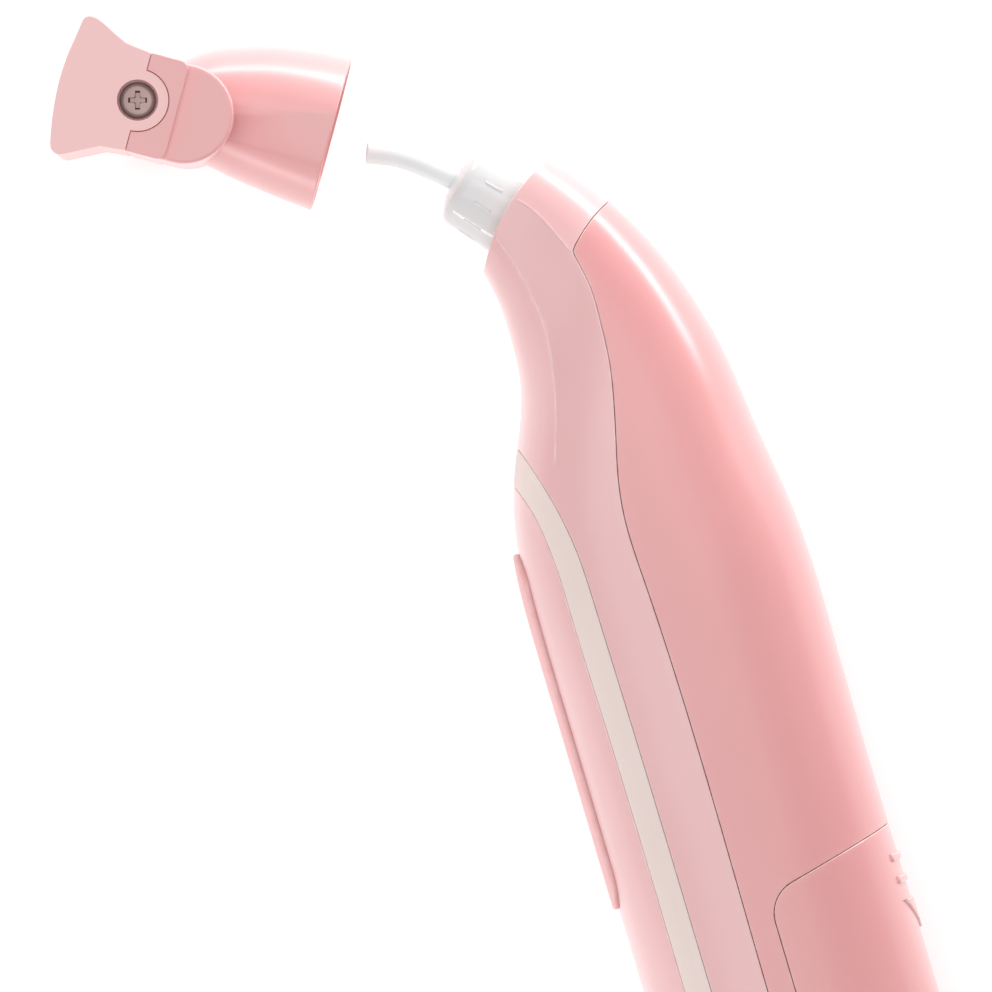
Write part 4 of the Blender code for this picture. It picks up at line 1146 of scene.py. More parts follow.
    def build_lugs(self) -> list:
        """Build the front shell's two lugs for the base screws.

        Returns:
            The two lugs.
        """
        x, size = self.lug_x, self.lug_half
        upright = Axes((0.0, 0.0, 0.0), (1.0, 0.0, 0.0), (0.0, 0.0, 1.0), (0.0, 1.0, 0.0))
        lugs = []
        for number, side in enumerate((-1, 1), 1):
            near, far = sorted((side * (self.lug_z - size), side * (self.form.half_width - self.lug_inset)))
            square = [(x - size, near), (x + size, near), (x + size, far), (x - size, far)]
            lugs.append(prism(f"base_lug_{number}", rounded(square, 0.8, True), *self.lug_levels, upright, 0.3))
        return lugs

    def build_rear(self) -> bpy.types.Object:
        """Build the rear shell, cut away for the tank cover.

        Returns:
            The shell.
        """
        half = self.gap / 2
        seam = self.line(self.form.seam, half)
        tank = self.line(self.tank_line(half), 0.0, True)
        loop = np.concatenate([
            seam, self.base_row(seam[-1, 1], tank[-1, 1]), tank[::-1],
            self.mirror_row(tank[0, 0], seam[0, 0], 0.0)])
        return SkinPatch(self.form, loop, self.rear_wall, self.shell_fillet).build("rear_shell_skin")

    def skin(self, loop: Array) -> SkinPatch:
        """Return the thin skin that the trim strip and the panel are made of."""
        return SkinPatch(self.form, loop, self.skin_wall, self.skin_fillet, self.skin_spacing)

    def build_trim(self) -> bpy.types.Object:
        """Build the trim strip, an arch over the front.

        Returns:
            The strip.
        """
        half = self.gap / 2
        outer = self.line(self.trim_outer, -half)
        inner = self.line(self.trim_inner(), half)
        loop = np.concatenate([
            outer, self.base_row(outer[-1, 1], inner[-1, 1]), inner[::-1],
            self.mirror_row(inner[0, 0], outer[0, 0], math.pi)])
        return self.skin(loop).build("trim_strip")

    def build_panel(self) -> bpy.types.Object:
        """Build the panel inside the arch, with the trigger's slot.

        Returns:
            The panel.
        """
        inner = self.line(self.trim_inner(), -self.gap / 2)
        slot = self.slot_loop(0.0)
        length = self.form.length
        loop = np.concatenate([
            inner, self.base_row(inner[-1, 1], math.pi), [[length, math.pi]],
            self.mirror_row(length, slot[-1, 0], math.pi), slot[::-1],
            self.mirror_row(slot[0, 0], inner[0, 0], math.pi)])
        return self.skin(loop).build("front_panel_skin")

    def build(self) -> None:
        """Build every skin and say what each stands for."""
        pieces = self.build_front()
        ride_as(pieces[0], Body.HANDLE, Slot.FRONT, "front_shell")
        for piece in pieces[1:]:
            ride_as(piece, Body.HANDLE, Slot.FRONT)
        rear, trim, panel = self.build_rear(), self.build_trim(), self.build_panel()
        ride_as(rear, Body.HANDLE, Slot.REAR, "rear_shell")
        ride_as(trim, Body.HANDLE, Slot.TRIM, "trim_arch")
        ride_as(panel, Body.HANDLE, Slot.FRONT, "front_panel")
        for piece in pieces + [rear, trim, panel]:
            weigh_normals(piece)
            LOG.info("%s: %d faces", piece.name, len(piece.data.polygons))


@dataclass
class TriggerPad:
    """The long trigger pad, crowned and standing proud of the panel, with its ears and rib."""

    shells: Shells
    clearance: float = 0.45
    proud_top: float = 1.0
    proud_bottom: float = 1.0
    depth: float = 3.0
    crown: float = 0.25
    fillet: float = 0.55
    spacing: float = 1.4
    pin: tuple = (-18.4, 124.6)
    pin_radius: float = 1.12
    ear_radius: float = 2.3
    ear_half_width: float = 4.2
    back_x: float = -22.9
    root_overlap: float = 0.4
    press_y: float = 97.0
    rib_end: float = -19.7
    rib_half_height: float = 1.2
    rib_half_width: float = 2.0

    def rise(self, place: Array) -> Array:
        """Return how far the pad stands proud at each place.

        Args:
            place: rows of (a, angle).

        Returns:
            A height for each place.
        """
        form = self.shells.form
        low = form.length - self.shells.trigger_bottom
        high = form.length - self.shells.trigger_top
        t = np.clip((place[:, 0] - high) / (low - high), 0, 1)
        across = np.abs(place[:, 1] - math.pi) * UNROLL / self.shells.trigger_half_width
        return self.proud_top + (self.proud_bottom - self.proud_top) * t - self.crown * np.clip(across, 0, 1) ** 2

    def build(self) -> None:
        """Build the pad and its works, riding on the trigger's own body."""
        outline = self.shells.slot_loop(-self.clearance)
        loop = np.concatenate([outline, self.shells.mirror_row(outline[-1, 0], outline[0, 0], math.pi)])
        pad = SkinPatch(self.shells.form, loop, self.depth, self.fillet, self.spacing, self.rise,
                        round_steps=6).build("trigger_pad")
        ride_as(pad, Body.TRIGGER, Slot.TRIGGER, "trigger")
        weigh_normals(pad)
        x, y = self.pin
        flat = Axes((0.0, 0.0, 0.0), (1.0, 0.0, 0.0), (0.0, 1.0, 0.0))
        root = self.back_x - self.root_overlap
        ear = [(root, y + self.ear_radius), (root, y - self.ear_radius)]
        ear += arc((x, y), self.ear_radius, -90, 90, 24)
        ears = prism("trigger_ear", ear, -self.ear_half_width, self.ear_half_width, flat, 0.25)
        reach = 9.0
        hole = prism("hole", arc((x, y), self.pin_radius, 0, 345, 23), -reach, reach, flat)
        combine(ears, [hole], "DIFFERENCE")
        low, high = self.press_y - self.rib_half_height, self.press_y + self.rib_half_height
        rib = [(root, low), (self.rib_end, low), (self.rib_end, high), (root, high)]
        ribs = prism("trigger_rib", rounded(rib, 0.3, True), -self.rib_half_width, self.rib_half_width, flat, 0.25)
        for piece in (ears, ribs):
            ride_as(piece, Body.TRIGGER, Slot.TRIGGER)
            weigh_normals(piece, 35.0)
        LOG.info("trigger: %d faces", len(pad.data.polygons))


@dataclass
class TankCover:
    """The removable cover over the water tank, with two grip bars and an arrow raised on its back."""

    shells: Shells
    bars: tuple = (60.7, 56.7)
    bar_height: float = 1.3
    arrow_top: float = 52.5
    arrow_tip: float = 46.9
    half_width: float = 9.5
    proud: float = 0.45
    root: float = 0.5
    mark_step: float = 0.45
    mark_fillet: float = 0.3
    mark_spacing: float = 0.7

    def build(self) -> None:
        """Build the cover and its raised marks, riding on the tank."""
        shells = self.shells
        edge = shells.line(shells.tank_line(-shells.gap / 2), 0.0, True)
        length = shells.form.length
        loop = np.concatenate([
            edge, shells.base_row(edge[-1, 1], 0.0), [[length, 0.0]],
            shells.mirror_row(length, edge[0, 0], 0.0)])
        cover = SkinPatch(shells.form, loop, shells.rear_wall, shells.shell_fillet, 1.6).build("tank_cover_skin")
        ride_as(cover, Body.TANK, Slot.REAR, "tank_cover")
        weigh_normals(cover)
        outlines = []
        for top in self.bars:
            low = top - self.bar_height
            outlines.append([(0.0, top), (self.half_width, top), (self.half_width, low), (0.0, low)])
        outlines.append([(0.0, self.arrow_top), (self.half_width, self.arrow_top), (0.0, self.arrow_tip)])
        for number, outline in enumerate(outlines, 1):
            mark = self.mark(f"grip_mark_{number}", outline)
            ride_as(mark, Body.TANK, Slot.REAR)
            weigh_normals(mark)
        LOG.info("tank cover: %d faces", len(cover.data.polygons))

    def mark(self, name: str, corners: Sequence) -> bpy.types.Object:
        """Build one raised mark.

        Args:
            name: the piece's name.
            corners: (z, y) corners of its half on the positive side; the first and last lie on Z = 0.

        Returns:
            The new piece.
        """
        form = self.shells.form
        dense = []
        for start, end in zip(corners[:-1], corners[1:]):
            count = max(2, int(math.dist(start, end) / self.mark_step))
            for k in range(count):
                dense.append([start[i] + (end[i] - start[i]) * k / count for i in range(2)])
        dense.append(list(corners[-1]))
        flat = np.array(dense)
        table = np.linspace(0, math.pi / 2, 400)
        angle = np.interp(flat[:, 0] / form.half_width, form.side(table), table)
        angle[np.abs(flat[:, 0]) < ON_MIDDLE] = 0.0
        outline = np.column_stack([form.length - flat[:, 1], angle])
        for _ in range(6):
            here = form.points(outline[:, 0], outline[:, 1])
            outline[:, 0] += here[:, 1] - flat[:, 1]
        count = max(2, int(abs(flat[0, 1] - flat[-1, 1]) / self.mark_step))
        back = np.column_stack([np.linspace(outline[-1, 0], outline[0, 0], count + 1)[1:-1], np.zeros(count - 1)])
        loop = np.concatenate([outline, back])
        return SkinPatch(form, loop, self.proud + self.root, self.mark_fillet, self.mark_spacing,
                         lambda place: np.full(len(place), self.proud)).build(name)


@dataclass
class NeckFittings:
    """The collar in the neck's mouth and the steam hose that comes out of it."""

    form: HandleForm
    foot: float = -4.6
    shoulder: float = 1.6
    rim_radius: float = 8.0
    groove_radius: float = 7.0
    seal_groove: tuple = (-3.5, -1.5)
    end: float = 10.6
    end_radius: float = 7.5
    dome: float = 2.1
    hose_radius: float = 1.85
    bore: float = 1.0
    hose_clearance: float = 0.25
    ribs: int = 12
    rib_rows: tuple = ((3.9, -0.5, 0.38), (4.05, 0.0, 0.36), (4.3, 0.13, 0.24), (7.2, 0.13, 0.24),
                       (7.45, 0.0, 0.36), (7.6, -0.5, 0.38))
    hose_path: tuple = ((2.5, 158.3), (3.3, 164.0), (2.6, 170.5), (-0.9, 177.8), (-7.65, 185.5), (-12.4, 190.6),
                        (-16.6, 194.6), (-19.0, 196.7), (-22.0, 199.2), (-25.5, 201.4), (-29.3, 203.0))

    def collar_profile(self) -> list:
        """Return the collar's closed profile, with its seal groove, rounded shoulder and domed end.

        Returns:
            (distance along the neck, radius) pairs.
        """
        hole = self.hose_radius + self.hose_clearance
        sphere = (self.end_radius ** 2 + self.dome ** 2) / (2 * self.dome)
        drop = math.sqrt(sphere ** 2 - self.end_radius ** 2)
        low, high = self.seal_groove
        profile = [(self.foot, self.rim_radius), (low, self.rim_radius), (low, self.groove_radius),
                   (high, self.groove_radius), (high, self.rim_radius), (self.shoulder, self.rim_radius)]
        profile += [(self.end - 1.1, self.end_radius + 0.08), (self.end - 0.75, self.end_radius + 0.02),
                    (self.end - 0.35, self.end_radius - 0.16), (self.end + 0.02, self.end_radius - 0.5)]
        dome = []
        for share in np.linspace(0.86, 0.28, 14):
            radius = hole + (self.end_radius - hole) * share
            dome.append((self.end + math.sqrt(sphere ** 2 - radius ** 2) - drop, radius))
        profile = rounded(profile[:7], 0.3) + profile[7:] + dome
        crater = self.end + self.dome - 0.25
        return profile + [(crater, hole + 0.35), (crater - 0.35, hole), (self.foot, hole)]

    def build(self) -> None:
        """Build the collar, the ribs on it and the hose."""
        collar = new_piece("collar_body", *turned(self.collar_profile(), self.form.neck, True, 96))
        ride_as(collar, Body.HANDLE, Slot.COLLAR, "collar")
        weigh_normals(collar, 40.0)
        for k in range(self.ribs):
            angle = 2 * math.pi * (k + 0.5) / self.ribs
            rib = self.rib(f"collar_rib_{k + 1}", angle)
            ride_as(rib, Body.HANDLE, Slot.COLLAR)
        line = curve_through(self.hose_path)
        flat = line.at(np.linspace(0, line.knots[-1], 70))
        path = np.column_stack([flat, np.zeros(len(flat))])
        hose = swept("steam_hose_tube", path, self.hose_radius, self.bore)
        ride_as(hose, Body.HANDLE, Slot.SILICONE, "steam_hose")
        LOG.info("collar: %d faces, hose: %d faces", len(collar.data.polygons), len(hose.data.polygons))

    def rib(self, name: str, angle: float) -> bpy.types.Object:
        """Build one short raised rib on the collar's flank.

        Args:
            name: the piece's name.
            angle: where it stands round the collar.

        Returns:
            The new piece.
        """
        neck = self.form.neck
        out = np.array(neck.v) * math.cos(angle) + np.array(neck.w) * math.sin(angle)
        over = np.cross(np.array(neck.u), out)
        axes = Axes(neck.origin, neck.u, tuple(over), tuple(out))
        taper = (self.end_radius - self.rim_radius) / (self.end - self.shoulder)
        rings = []
        for u, height, half in self.rib_rows:
            radius = self.rim_radius + taper * (u - self.shoulder)
            across = np.array([-half, -half * 0.55, 0.0, half * 0.55, half, half, -half])
            up = np.array([0.0, height * 0.75, height, height * 0.75, 0.0, -0.5, -0.5]) + radius
            if height <= 0:
                up = np.array([height, height, height, height, height, -0.6, -0.6]) + radius
            rings.append(axes.at(np.full(7, u), across, up))
        return new_piece(name, *loft(rings))


# ---- head

@dataclass
class SteamHead:
    """The head: a cone with an open mouth, a cross bar with round ends, and the fan-shaped nozzle."""

    mouth: tuple = (-34.55, 207.95)
    degrees: float = 148.5
    cone: tuple = ((0.0, 13.65, -13.65, 14.2), (5.0, 13.4, -13.15, 14.0), (10.0, 12.85, -12.5, 13.6),
                   (15.0, 11.85, -11.7, 13.2), (20.0, 10.3, -10.8, 13.0), (25.0, 8.1, -10.9, 13.0),
                   (29.0, 5.0, -11.6, 13.0))
    cone_end: float = 29.0
    bore_end: float = 22.5
    cone_wall: float = 1.4
    lip_wall: float = 0.7
    lip_depth: float = 2.2
    upper_crease: tuple = ((0.0, 3.7), (17.3, -1.4), (29.0, -4.0))
    lower_crease: tuple = ((0.0, -6.0), (17.3, -5.9), (29.0, -5.8))
    facet_depth: float = 0.5
    bar_top: float = 5.15
    bar_bottom: float = -12.35
    bar_back: float = 16.6
    bar_step: float = 0.15
    bar_half: float = 20.7
    bar_fillet: float = 0.7
    step_u: float = 26.4
    knuckle_half: float = 22.0
    face_fillet: float = 0.2
    seam_ease: float = 0.28
    knuckle_corner: float = 1.6
    seam_u: float = 33.25
    gap: float = 0.06
    boss: tuple = (33.45, -3.4)
    boss_radius: float = 5.4
    boss_depth: float = 3.2
    plenum: tuple = (25.0, 3.05, -10.25, 14.6)
    fan: tuple = ((37.75, 5.65), (40.55, 6.95), (43.15, 8.25), (44.95, 8.55), (45.85, 8.15), (46.25, 6.85),
                  (47.05, 1.45), (47.35, -3.55), (47.05, -8.55), (46.15, -14.15), (45.55, -15.55),
                  (44.65, -15.95), (42.75, -15.35), (40.45, -14.15), (37.75, -12.75))
    nozzle_wall: float = 2.0
    plate_u: tuple = (43.45, 44.85)
    plate_v: tuple = (-13.35, 6.05)
    plate_gap: float = 0.3
    slot_half: tuple = (0.6, 1.5)
    slot_pitch: tuple = (4.4, 4.8)
    slot_reach: tuple = (40.0, 50.0)
    recess_radius: float = 3.5
    cross_turn: float = math.radians(-15.0)
    recess_depth: float = 1.8
    screw_radius: float = 3.15
    screw_height: float = 1.3
    shank_radius: float = 1.4
    shank_end: float = 6.6
    shank_hole: float = 1.7
    socket_radius: float = 5.3
    socket_v: float = -3.05
    socket_tilt: float = -13.4

    def __post_init__(self) -> None:
        """Place the head's axes."""
        self.axes = Axes.flat(self.mouth, self.degrees)

    def boss_axes(self, side: int) -> Axes:
        """Return the axes at a side screw, with u pointing inwards."""
        centre = self.axes.at(self.boss[0], self.boss[1], side * self.knuckle_half)
        return Axes(tuple(centre), (0.0, 0.0, -float(side)), self.axes.u, self.axes.v)

    def cone_rings(self, inset: float, stop: float, facet: bool) -> list:
        """Return the cone's sections from its mouth.

        Args:
            inset: how far inside the outer surface they lie.
            stop: distance of the last section.
            facet: whether the flat on each side is pressed in.

        Returns:
            Rings of design points.
        """
        rows = np.array(self.cone)
        line = Spline(rows[:, 0], rows[:, 1:])
        angles = self.ring_angles()
        rings = []
        for u in np.linspace(0, stop, max(2, int(stop / 0.7)) + 1):
            top, bottom, width = line.at(u)[0]
            middle, depth = (top + bottom) / 2, (top - bottom) / 2 - inset
            v = middle + depth * np.cos(angles)
            w = (width - inset) * np.sin(angles)
            if facet:
                upper = np.interp(u, *zip(*self.upper_crease))
                lower = np.interp(u, *zip(*self.lower_crease))
                t = np.clip((v - lower) / (upper - lower), 0, 1)
                w = w - np.sign(w) * self.facet_depth * 4 * t * (1 - t)
            rings.append(self.axes.at(np.full(len(angles), u), v, w))
        return rings

    @staticmethod
    def ring_angles() -> Array:
        """Return the angles of a section's points."""
        return np.linspace(0, 2 * math.pi, 160, endpoint=False)

    def mouth_lip(self, rings: list) -> list:
        """Round the mouth's outer edge by small rings before the first section.

        Args:
            rings: the cone's sections, from the mouth.

        Returns:
            The sections with the rounded edge in place of the first.
        """
        first = rings[0]
        centre = first.mean(axis=0)
        inward = centre - first
        inward /= np.linalg.norm(inward, axis=1)[:, None]
        along = np.array(self.axes.u)
        small = 0.3
        lips = []
        for turn in np.linspace(math.pi / 2, 0, 5)[:-1]:
            lips.append(first + inward * small * (1 - math.cos(turn)) + along * small * (1 - math.sin(turn)))
        return lips + [first + along * small] + rings[1:]

    def bar(self) -> bpy.types.Object:
        """Build the cross bar with its rounded back.

        Returns:
            The bar.
        """
        middle = (self.bar_top + self.bar_bottom) / 2
        radius = (self.bar_top - self.bar_bottom) / 2 - self.bar_step
        centre = (self.bar_back + radius, middle)
        end = self.step_u + 2.0
        outline = [(end, middle - radius)] + arc(centre, radius, 270, 90, 60) + [(end, middle + radius)]
        return prism("bar", outline, -self.bar_half, self.bar_half, self.axes, self.bar_fillet)

    def block(self, name: str, u: tuple, v: tuple, w: tuple) -> bpy.types.Object:
        """Make a plain block from three (low, high) pairs."""
        return prism(name, [(u[0], v[0]), (u[1], v[0]), (u[1], v[1]), (u[0], v[1])], *w, self.axes)

    def knuckle(self) -> bpy.types.Object:
        """Build the raised knuckle between the bar and the nozzle's seam.

        Returns:
            The knuckle.
        """
        seam = self.seam_u - self.gap / 2
        corner, ease = self.knuckle_corner, self.seam_ease
        back, low, high = self.step_u, self.bar_bottom, self.bar_top
        outline = arc((back + corner, low + corner), corner, 180, 270, 8)
        outline += arc((seam - ease, low + ease), ease, 270, 360, 4)
        outline += arc((seam - ease, high - ease), ease, 0, 90, 4)
        outline += arc((back + corner, high - corner), corner, 90, 180, 8)
        return prism("knuckle", outline, -self.knuckle_half, self.knuckle_half, self.axes, self.face_fillet)

    def recess(self, name: str, radius: float, depth: float, place: Axes) -> bpy.types.Object:
        """Make a round cutter whose edge at the face is eased.

        Args:
            name: the object's name.
            radius: the recess's radius.
            depth: how deep it goes.
            place: axes at the face, with u pointing inwards.

        Returns:
            The new object.
        """
        ease = 0.22
        profile = [(-1.0, radius + ease + 1.0), (0.0, radius + ease), (ease * 0.3, radius + ease * 0.3),
                   (ease, radius), (depth, radius)]
        return new_piece(name, *turned(profile, place, sides=72))

    def build_shell(self) -> bpy.types.Object:
        """Build the cone, bar and knuckle as one moulding.

        Returns:
            The moulding.
        """
        knuckle = self.knuckle()
        for side in (-1, 1):
            place = self.boss_axes(side)
            bed = self.recess("bed", self.boss_radius + self.gap / 2, self.boss_depth + 0.3, place)
            thread = new_piece("thread", *turned([(2.0, self.shank_hole), (7.0, self.shank_hole)], place, sides=32))
            combine(knuckle, [bed, thread], "DIFFERENCE")
        shell = new_piece("head_moulding", *loft(self.mouth_lip(self.cone_rings(0.0, self.cone_end, True))))
        combine(shell, [self.bar(), knuckle], "UNION")
        inner = self.cone_rings(self.cone_wall, self.bore_end, False)
        along = np.array(self.axes.u)
        before = along * 3.0
        inner.insert(0, inner[0] - before)
        lip = self.cone_rings(self.lip_wall, 0.7, False)[0]
        tools = [new_piece("inside", *loft(inner)),
                 new_piece("lip", *loft([lip - before, lip + along * self.lip_depth]))]
        back, upper, lower, half = self.plenum
        tools.append(self.block("plenum", (back, self.seam_u + 2.0), (lower, upper), (-half, half)))
        tools.append(new_piece("way", *turned([(-8.0, self.socket_radius), (8.0, self.socket_radius)],
                                              self.socket_axes(), sides=64)))
        return combine(shell, tools, "DIFFERENCE")

    def socket_axes(self) -> Axes:
        """Return the axes of the hose socket, tilted to the hose's path.

        Returns:
            Axes with u along the socket.
        """
        tilt = math.radians(self.socket_tilt)
        u, v = np.array(self.axes.u), np.array(self.axes.v)
        origin = self.axes.at(self.plenum[0] - 1.2, self.socket_v - 0.2, 0.0)
        along, across = u * math.cos(tilt) + v * math.sin(tilt), v * math.cos(tilt) - u * math.sin(tilt)
        return Axes(tuple(origin), tuple(along), tuple(across))

    def build_nozzle(self) -> bpy.types.Object:
        """Build the fan-shaped nozzle with its two screw bosses.

        Returns:
            The nozzle.
        """
        seam = self.seam_u + self.gap / 2
        line = curve_through(self.fan)
        fan = [tuple(p) for p in line.at(np.linspace(0, line.knots[-1], 90))]
        ease = self.seam_ease
        start = arc((seam + ease, self.bar_bottom + ease), ease, 270, 180, 4)
        start += arc((seam + ease, self.bar_top - ease), ease, 180, 90, 4)
        shell = prism("nozzle_moulding", start + fan, -self.knuckle_half, self.knuckle_half, self.axes,
                      self.face_fillet)
        bosses = []
        for side in (-1, 1):
            radius, place = self.boss_radius - self.gap / 2, self.boss_axes(side)
            profile = [(0.03, radius - 0.22), (0.1, radius - 0.07), (0.25, radius), (self.boss_depth, radius)]
            bosses.append(new_piece("boss", *turned(profile, place, sides=96)))
        combine(shell, bosses, "UNION")
        half = self.knuckle_half - self.nozzle_wall
        upper, lower, throat = self.plenum[1:]
        back, front = self.seam_u, self.plate_u[0]
        low, high = self.plate_v[0] - self.plate_gap, self.plate_v[1] + self.plate_gap
        tools = [self.block("throat", (back - 1.0, back + 6.0), (lower, upper), (-throat, throat)),
                 self.block("chamber", (back + 5.0, front), (lower - 0.9, upper + 1.0), (-half + 1.6, half - 1.6)),
                 self.block("plate_bed", (front - self.plate_gap, 52.0), (low, high), (-half, half))]
        for side in (-1, 1):
            place = self.boss_axes(side)
            tools.append(self.recess("recess", self.recess_radius, self.recess_depth, place))
            tools.append(new_piece("hole", *turned([(-1.0, self.shank_hole), (9.0, self.shank_hole)], place, sides=32)))
        return combine(shell, tools, "DIFFERENCE")

    def build_plate(self) -> bpy.types.Object:
        """Build the steam plate with three rows of seven slots.

        Returns:
            The plate.
        """
        half = self.knuckle_half - self.nozzle_wall - self.plate_gap
        low, high = self.plate_v
        plate = self.block("steam_plate_slotted", self.plate_u, (low, high), (-half, half))
        middle = (low + high) / 2
        tools = []
        facing = Axes(self.axes.origin, self.axes.v, self.axes.w, self.axes.u)
        for row in (-1, 0, 1):
            for column in range(-3, 4):
                v, w = middle + self.slot_pitch[0] * row, self.slot_pitch[1] * column
                thick, long = self.slot_half
                outline = arc((v, w + long - thick), thick, 0, 180, 8) + arc((v, w - long + thick), thick, 180, 360, 8)
                tools.append(prism("slot", outline, *self.slot_reach, facing))
        return combine(plate, tools, "DIFFERENCE")

    def build_screw(self, name: str, side: int) -> bpy.types.Object:
        """Build a cross-recess pan-head screw.

        Args:
            name: the piece's name.
            side: 1 for the near side, -1 for the far one.

        Returns:
            The new piece.
        """
        seat = self.recess_depth - 0.3
        top = seat - self.screw_height
        place = self.boss_axes(side)
        radius = self.screw_radius
        head = [(top + 0.02, 0.3), (top + 0.04, 1.2), (top + 0.08, 2.2), (top + 0.18, 2.75),
                (top + 0.45, radius - 0.06), (top + 0.8, radius), (seat - 0.08, radius), (seat, radius - 0.08),
                (seat, self.shank_radius), (self.shank_end, self.shank_radius)]
        screw = new_piece(name, *turned(head, place, sides=72))
        tools = []
        depth = top + 1.0
        for turn in (self.cross_turn, self.cross_turn + math.pi / 2):
            c, s = math.cos(turn), math.sin(turn)
            rings = []
            for level, long, thick in ((top - 0.5, 1.7, 0.46), (top, 1.65, 0.44), (depth, 1.3, 0.36)):
                corners = [(-long, -thick), (long, -thick), (long, thick), (-long, thick)]
                flat = np.array([(a * c - b * s, a * s + b * c) for a, b in corners])
                rings.append(place.at(np.full(4, level), flat[:, 0], flat[:, 1]))
            tools.append(new_piece("cross", *loft(rings)))
        tools.append(new_piece("dimple", *turned([(top - 0.5, 0.85), (top, 0.8), (depth, 0.6)], place, sides=24)))
        return combine(screw, tools, "DIFFERENCE")

    def build(self) -> None:
        """Build every piece of the head whose CAD node is too plain to show."""
        shell, nozzle, plate = self.build_shell(), self.build_nozzle(), self.build_plate()
        ride_as(shell, Body.HEAD, Slot.HEAD, "head_shell")
        ride_as(nozzle, Body.HEAD, Slot.NOZZLE, "nozzle_shell")
        ride_as(plate, Body.HEAD, Slot.WHITE, "steam_plate")
        near, far = self.build_screw("cross_screw_near", 1), self.build_screw("cross_screw_far", -1)
        ride_as(near, Body.HEAD, Slot.STEEL, "side_screw_near")
        ride_as(far, Body.HEAD, Slot.STEEL, "side_screw_far")
        for piece, angle in ((shell, 32.0), (nozzle, 32.0), (plate, 30.0), (near, 40.0), (far, 40.0)):
            weigh_normals(piece, angle)
            LOG.info("%s: %d faces", piece.name, len(piece.data.polygons))


# ---- finishes

def linear(colour: Sequence[float]) -> tuple:
    """Turn an sRGB colour of 0 to 255 into a linear one with alpha."""
    values = [c / 255 for c in colour]
    return tuple(v / 12.92 if v <= 0.04045 else ((v + 0.055) / 1.055) ** 2.4 for v in values) + (1.0,)


class Group:
    """A shared node group under construction."""

    def __init__(self, name: str, inputs: Sequence, outputs: Sequence) -> None:
        """Make the group and its sockets.

        Args:
            name: the group's name.
            inputs: (name, socket type, default) of each input.
            outputs: (name, socket type) of each output.
        """
        self.tree = bpy.data.node_groups.new(name, "ShaderNodeTree")
        for label, kind, default in inputs:
            made = self.tree.interface.new_socket(label, in_out="INPUT", socket_type=kind)
            made.default_value = default
        for label, kind in outputs:
            self.tree.interface.new_socket(label, in_out="OUTPUT", socket_type=kind)
        self.start = self.tree.nodes.new("NodeGroupInput")
        self.end = self.tree.nodes.new("NodeGroupOutput")
        self.place = self.tree.nodes.new("ShaderNodeTexCoord").outputs["Object"]

    def add(self, kind: str, **values: object) -> bpy.types.Node:
        """Add a node, and set its properties.

        Args:
            kind: the node's type.
            values: its properties by name.

        Returns:
            The new node.
        """
        made = self.tree.nodes.new(kind)
        for label, value in values.items():
            setattr(made, label, value)
        return made

    def join(self, source: object, target: object) -> None:
        """Link two sockets."""
        self.tree.links.new(source, target)

    def noise(self, scale: object, detail: float = 3.0, roughness: float = 0.55) -> object:
        """Add a noise over the object's own coordinates, and return its value.

        Args:
            scale: a number, or the socket that gives it.
            detail: octaves.
            roughness: share of each finer octave.

        Returns:
            The noise's value socket.
        """
        made = self.add("ShaderNodeTexNoise")
        self.join(self.place, made.inputs["Vector"])
        if isinstance(scale, float):
            made.inputs["Scale"].default_value = scale
        else:
            self.join(scale, made.inputs["Scale"])
        made.inputs["Detail"].default_value = detail
        made.inputs["Roughness"].default_value = roughness
        return made.outputs["Fac"]

    def maths(self, operation: str, first: object, second: object = 0.0, clamp: bool = False) -> object:
        """Add a Math node of two values or sockets, and return its output.

        Args:
            operation: the node's operation.
            first: a number or a socket.
            second: a number or a socket.
            clamp: whether the result is kept from 0 to 1.

        Returns:
            The output socket.
        """
        made = self.add("ShaderNodeMath", operation=operation, use_clamp=clamp)
        for value, socket in zip((first, second), made.inputs):
            if isinstance(value, (int, float)):
                socket.default_value = value
            else:
                self.join(value, socket)
        return made.outputs[0]

    def blend(self, share: object, first: object, second: object) -> object:
        """Mix two colour sockets by a share, and return the result.

        Args:
            share: the share of the second.
            first: a colour socket.
            second: a colour socket.

        Returns:
            The mixed colour.
        """
        made = self.add("ShaderNodeMix", data_type="RGBA")
        self.join(share, made.inputs["Factor"])
        self.join(first, made.inputs["A"])
        self.join(second, made.inputs["B"])
        return made.outputs["Result"]

    def cover(self, places: object, over: str) -> bpy.types.NodeTree:
        """Lay one of the group's colours over its Color, put the result and its mask out, and end the group.

        Args:
            places: where it is laid, before the group's Amount.
            over: the name of the colour input that is laid.

        Returns:
            The group.
        """
        mask = self.maths("MULTIPLY", places, self.start.outputs["Amount"], True)
        self.join(self.blend(mask, self.start.outputs["Color"], self.start.outputs[over]), self.end.inputs["Color"])
        self.join(mask, self.end.inputs["Mask"])
        return self.tree


COLOUR, NUMBER = "NodeSocketColor", "NodeSocketFloat"
GREY = (0.5, 0.5, 0.5, 1)


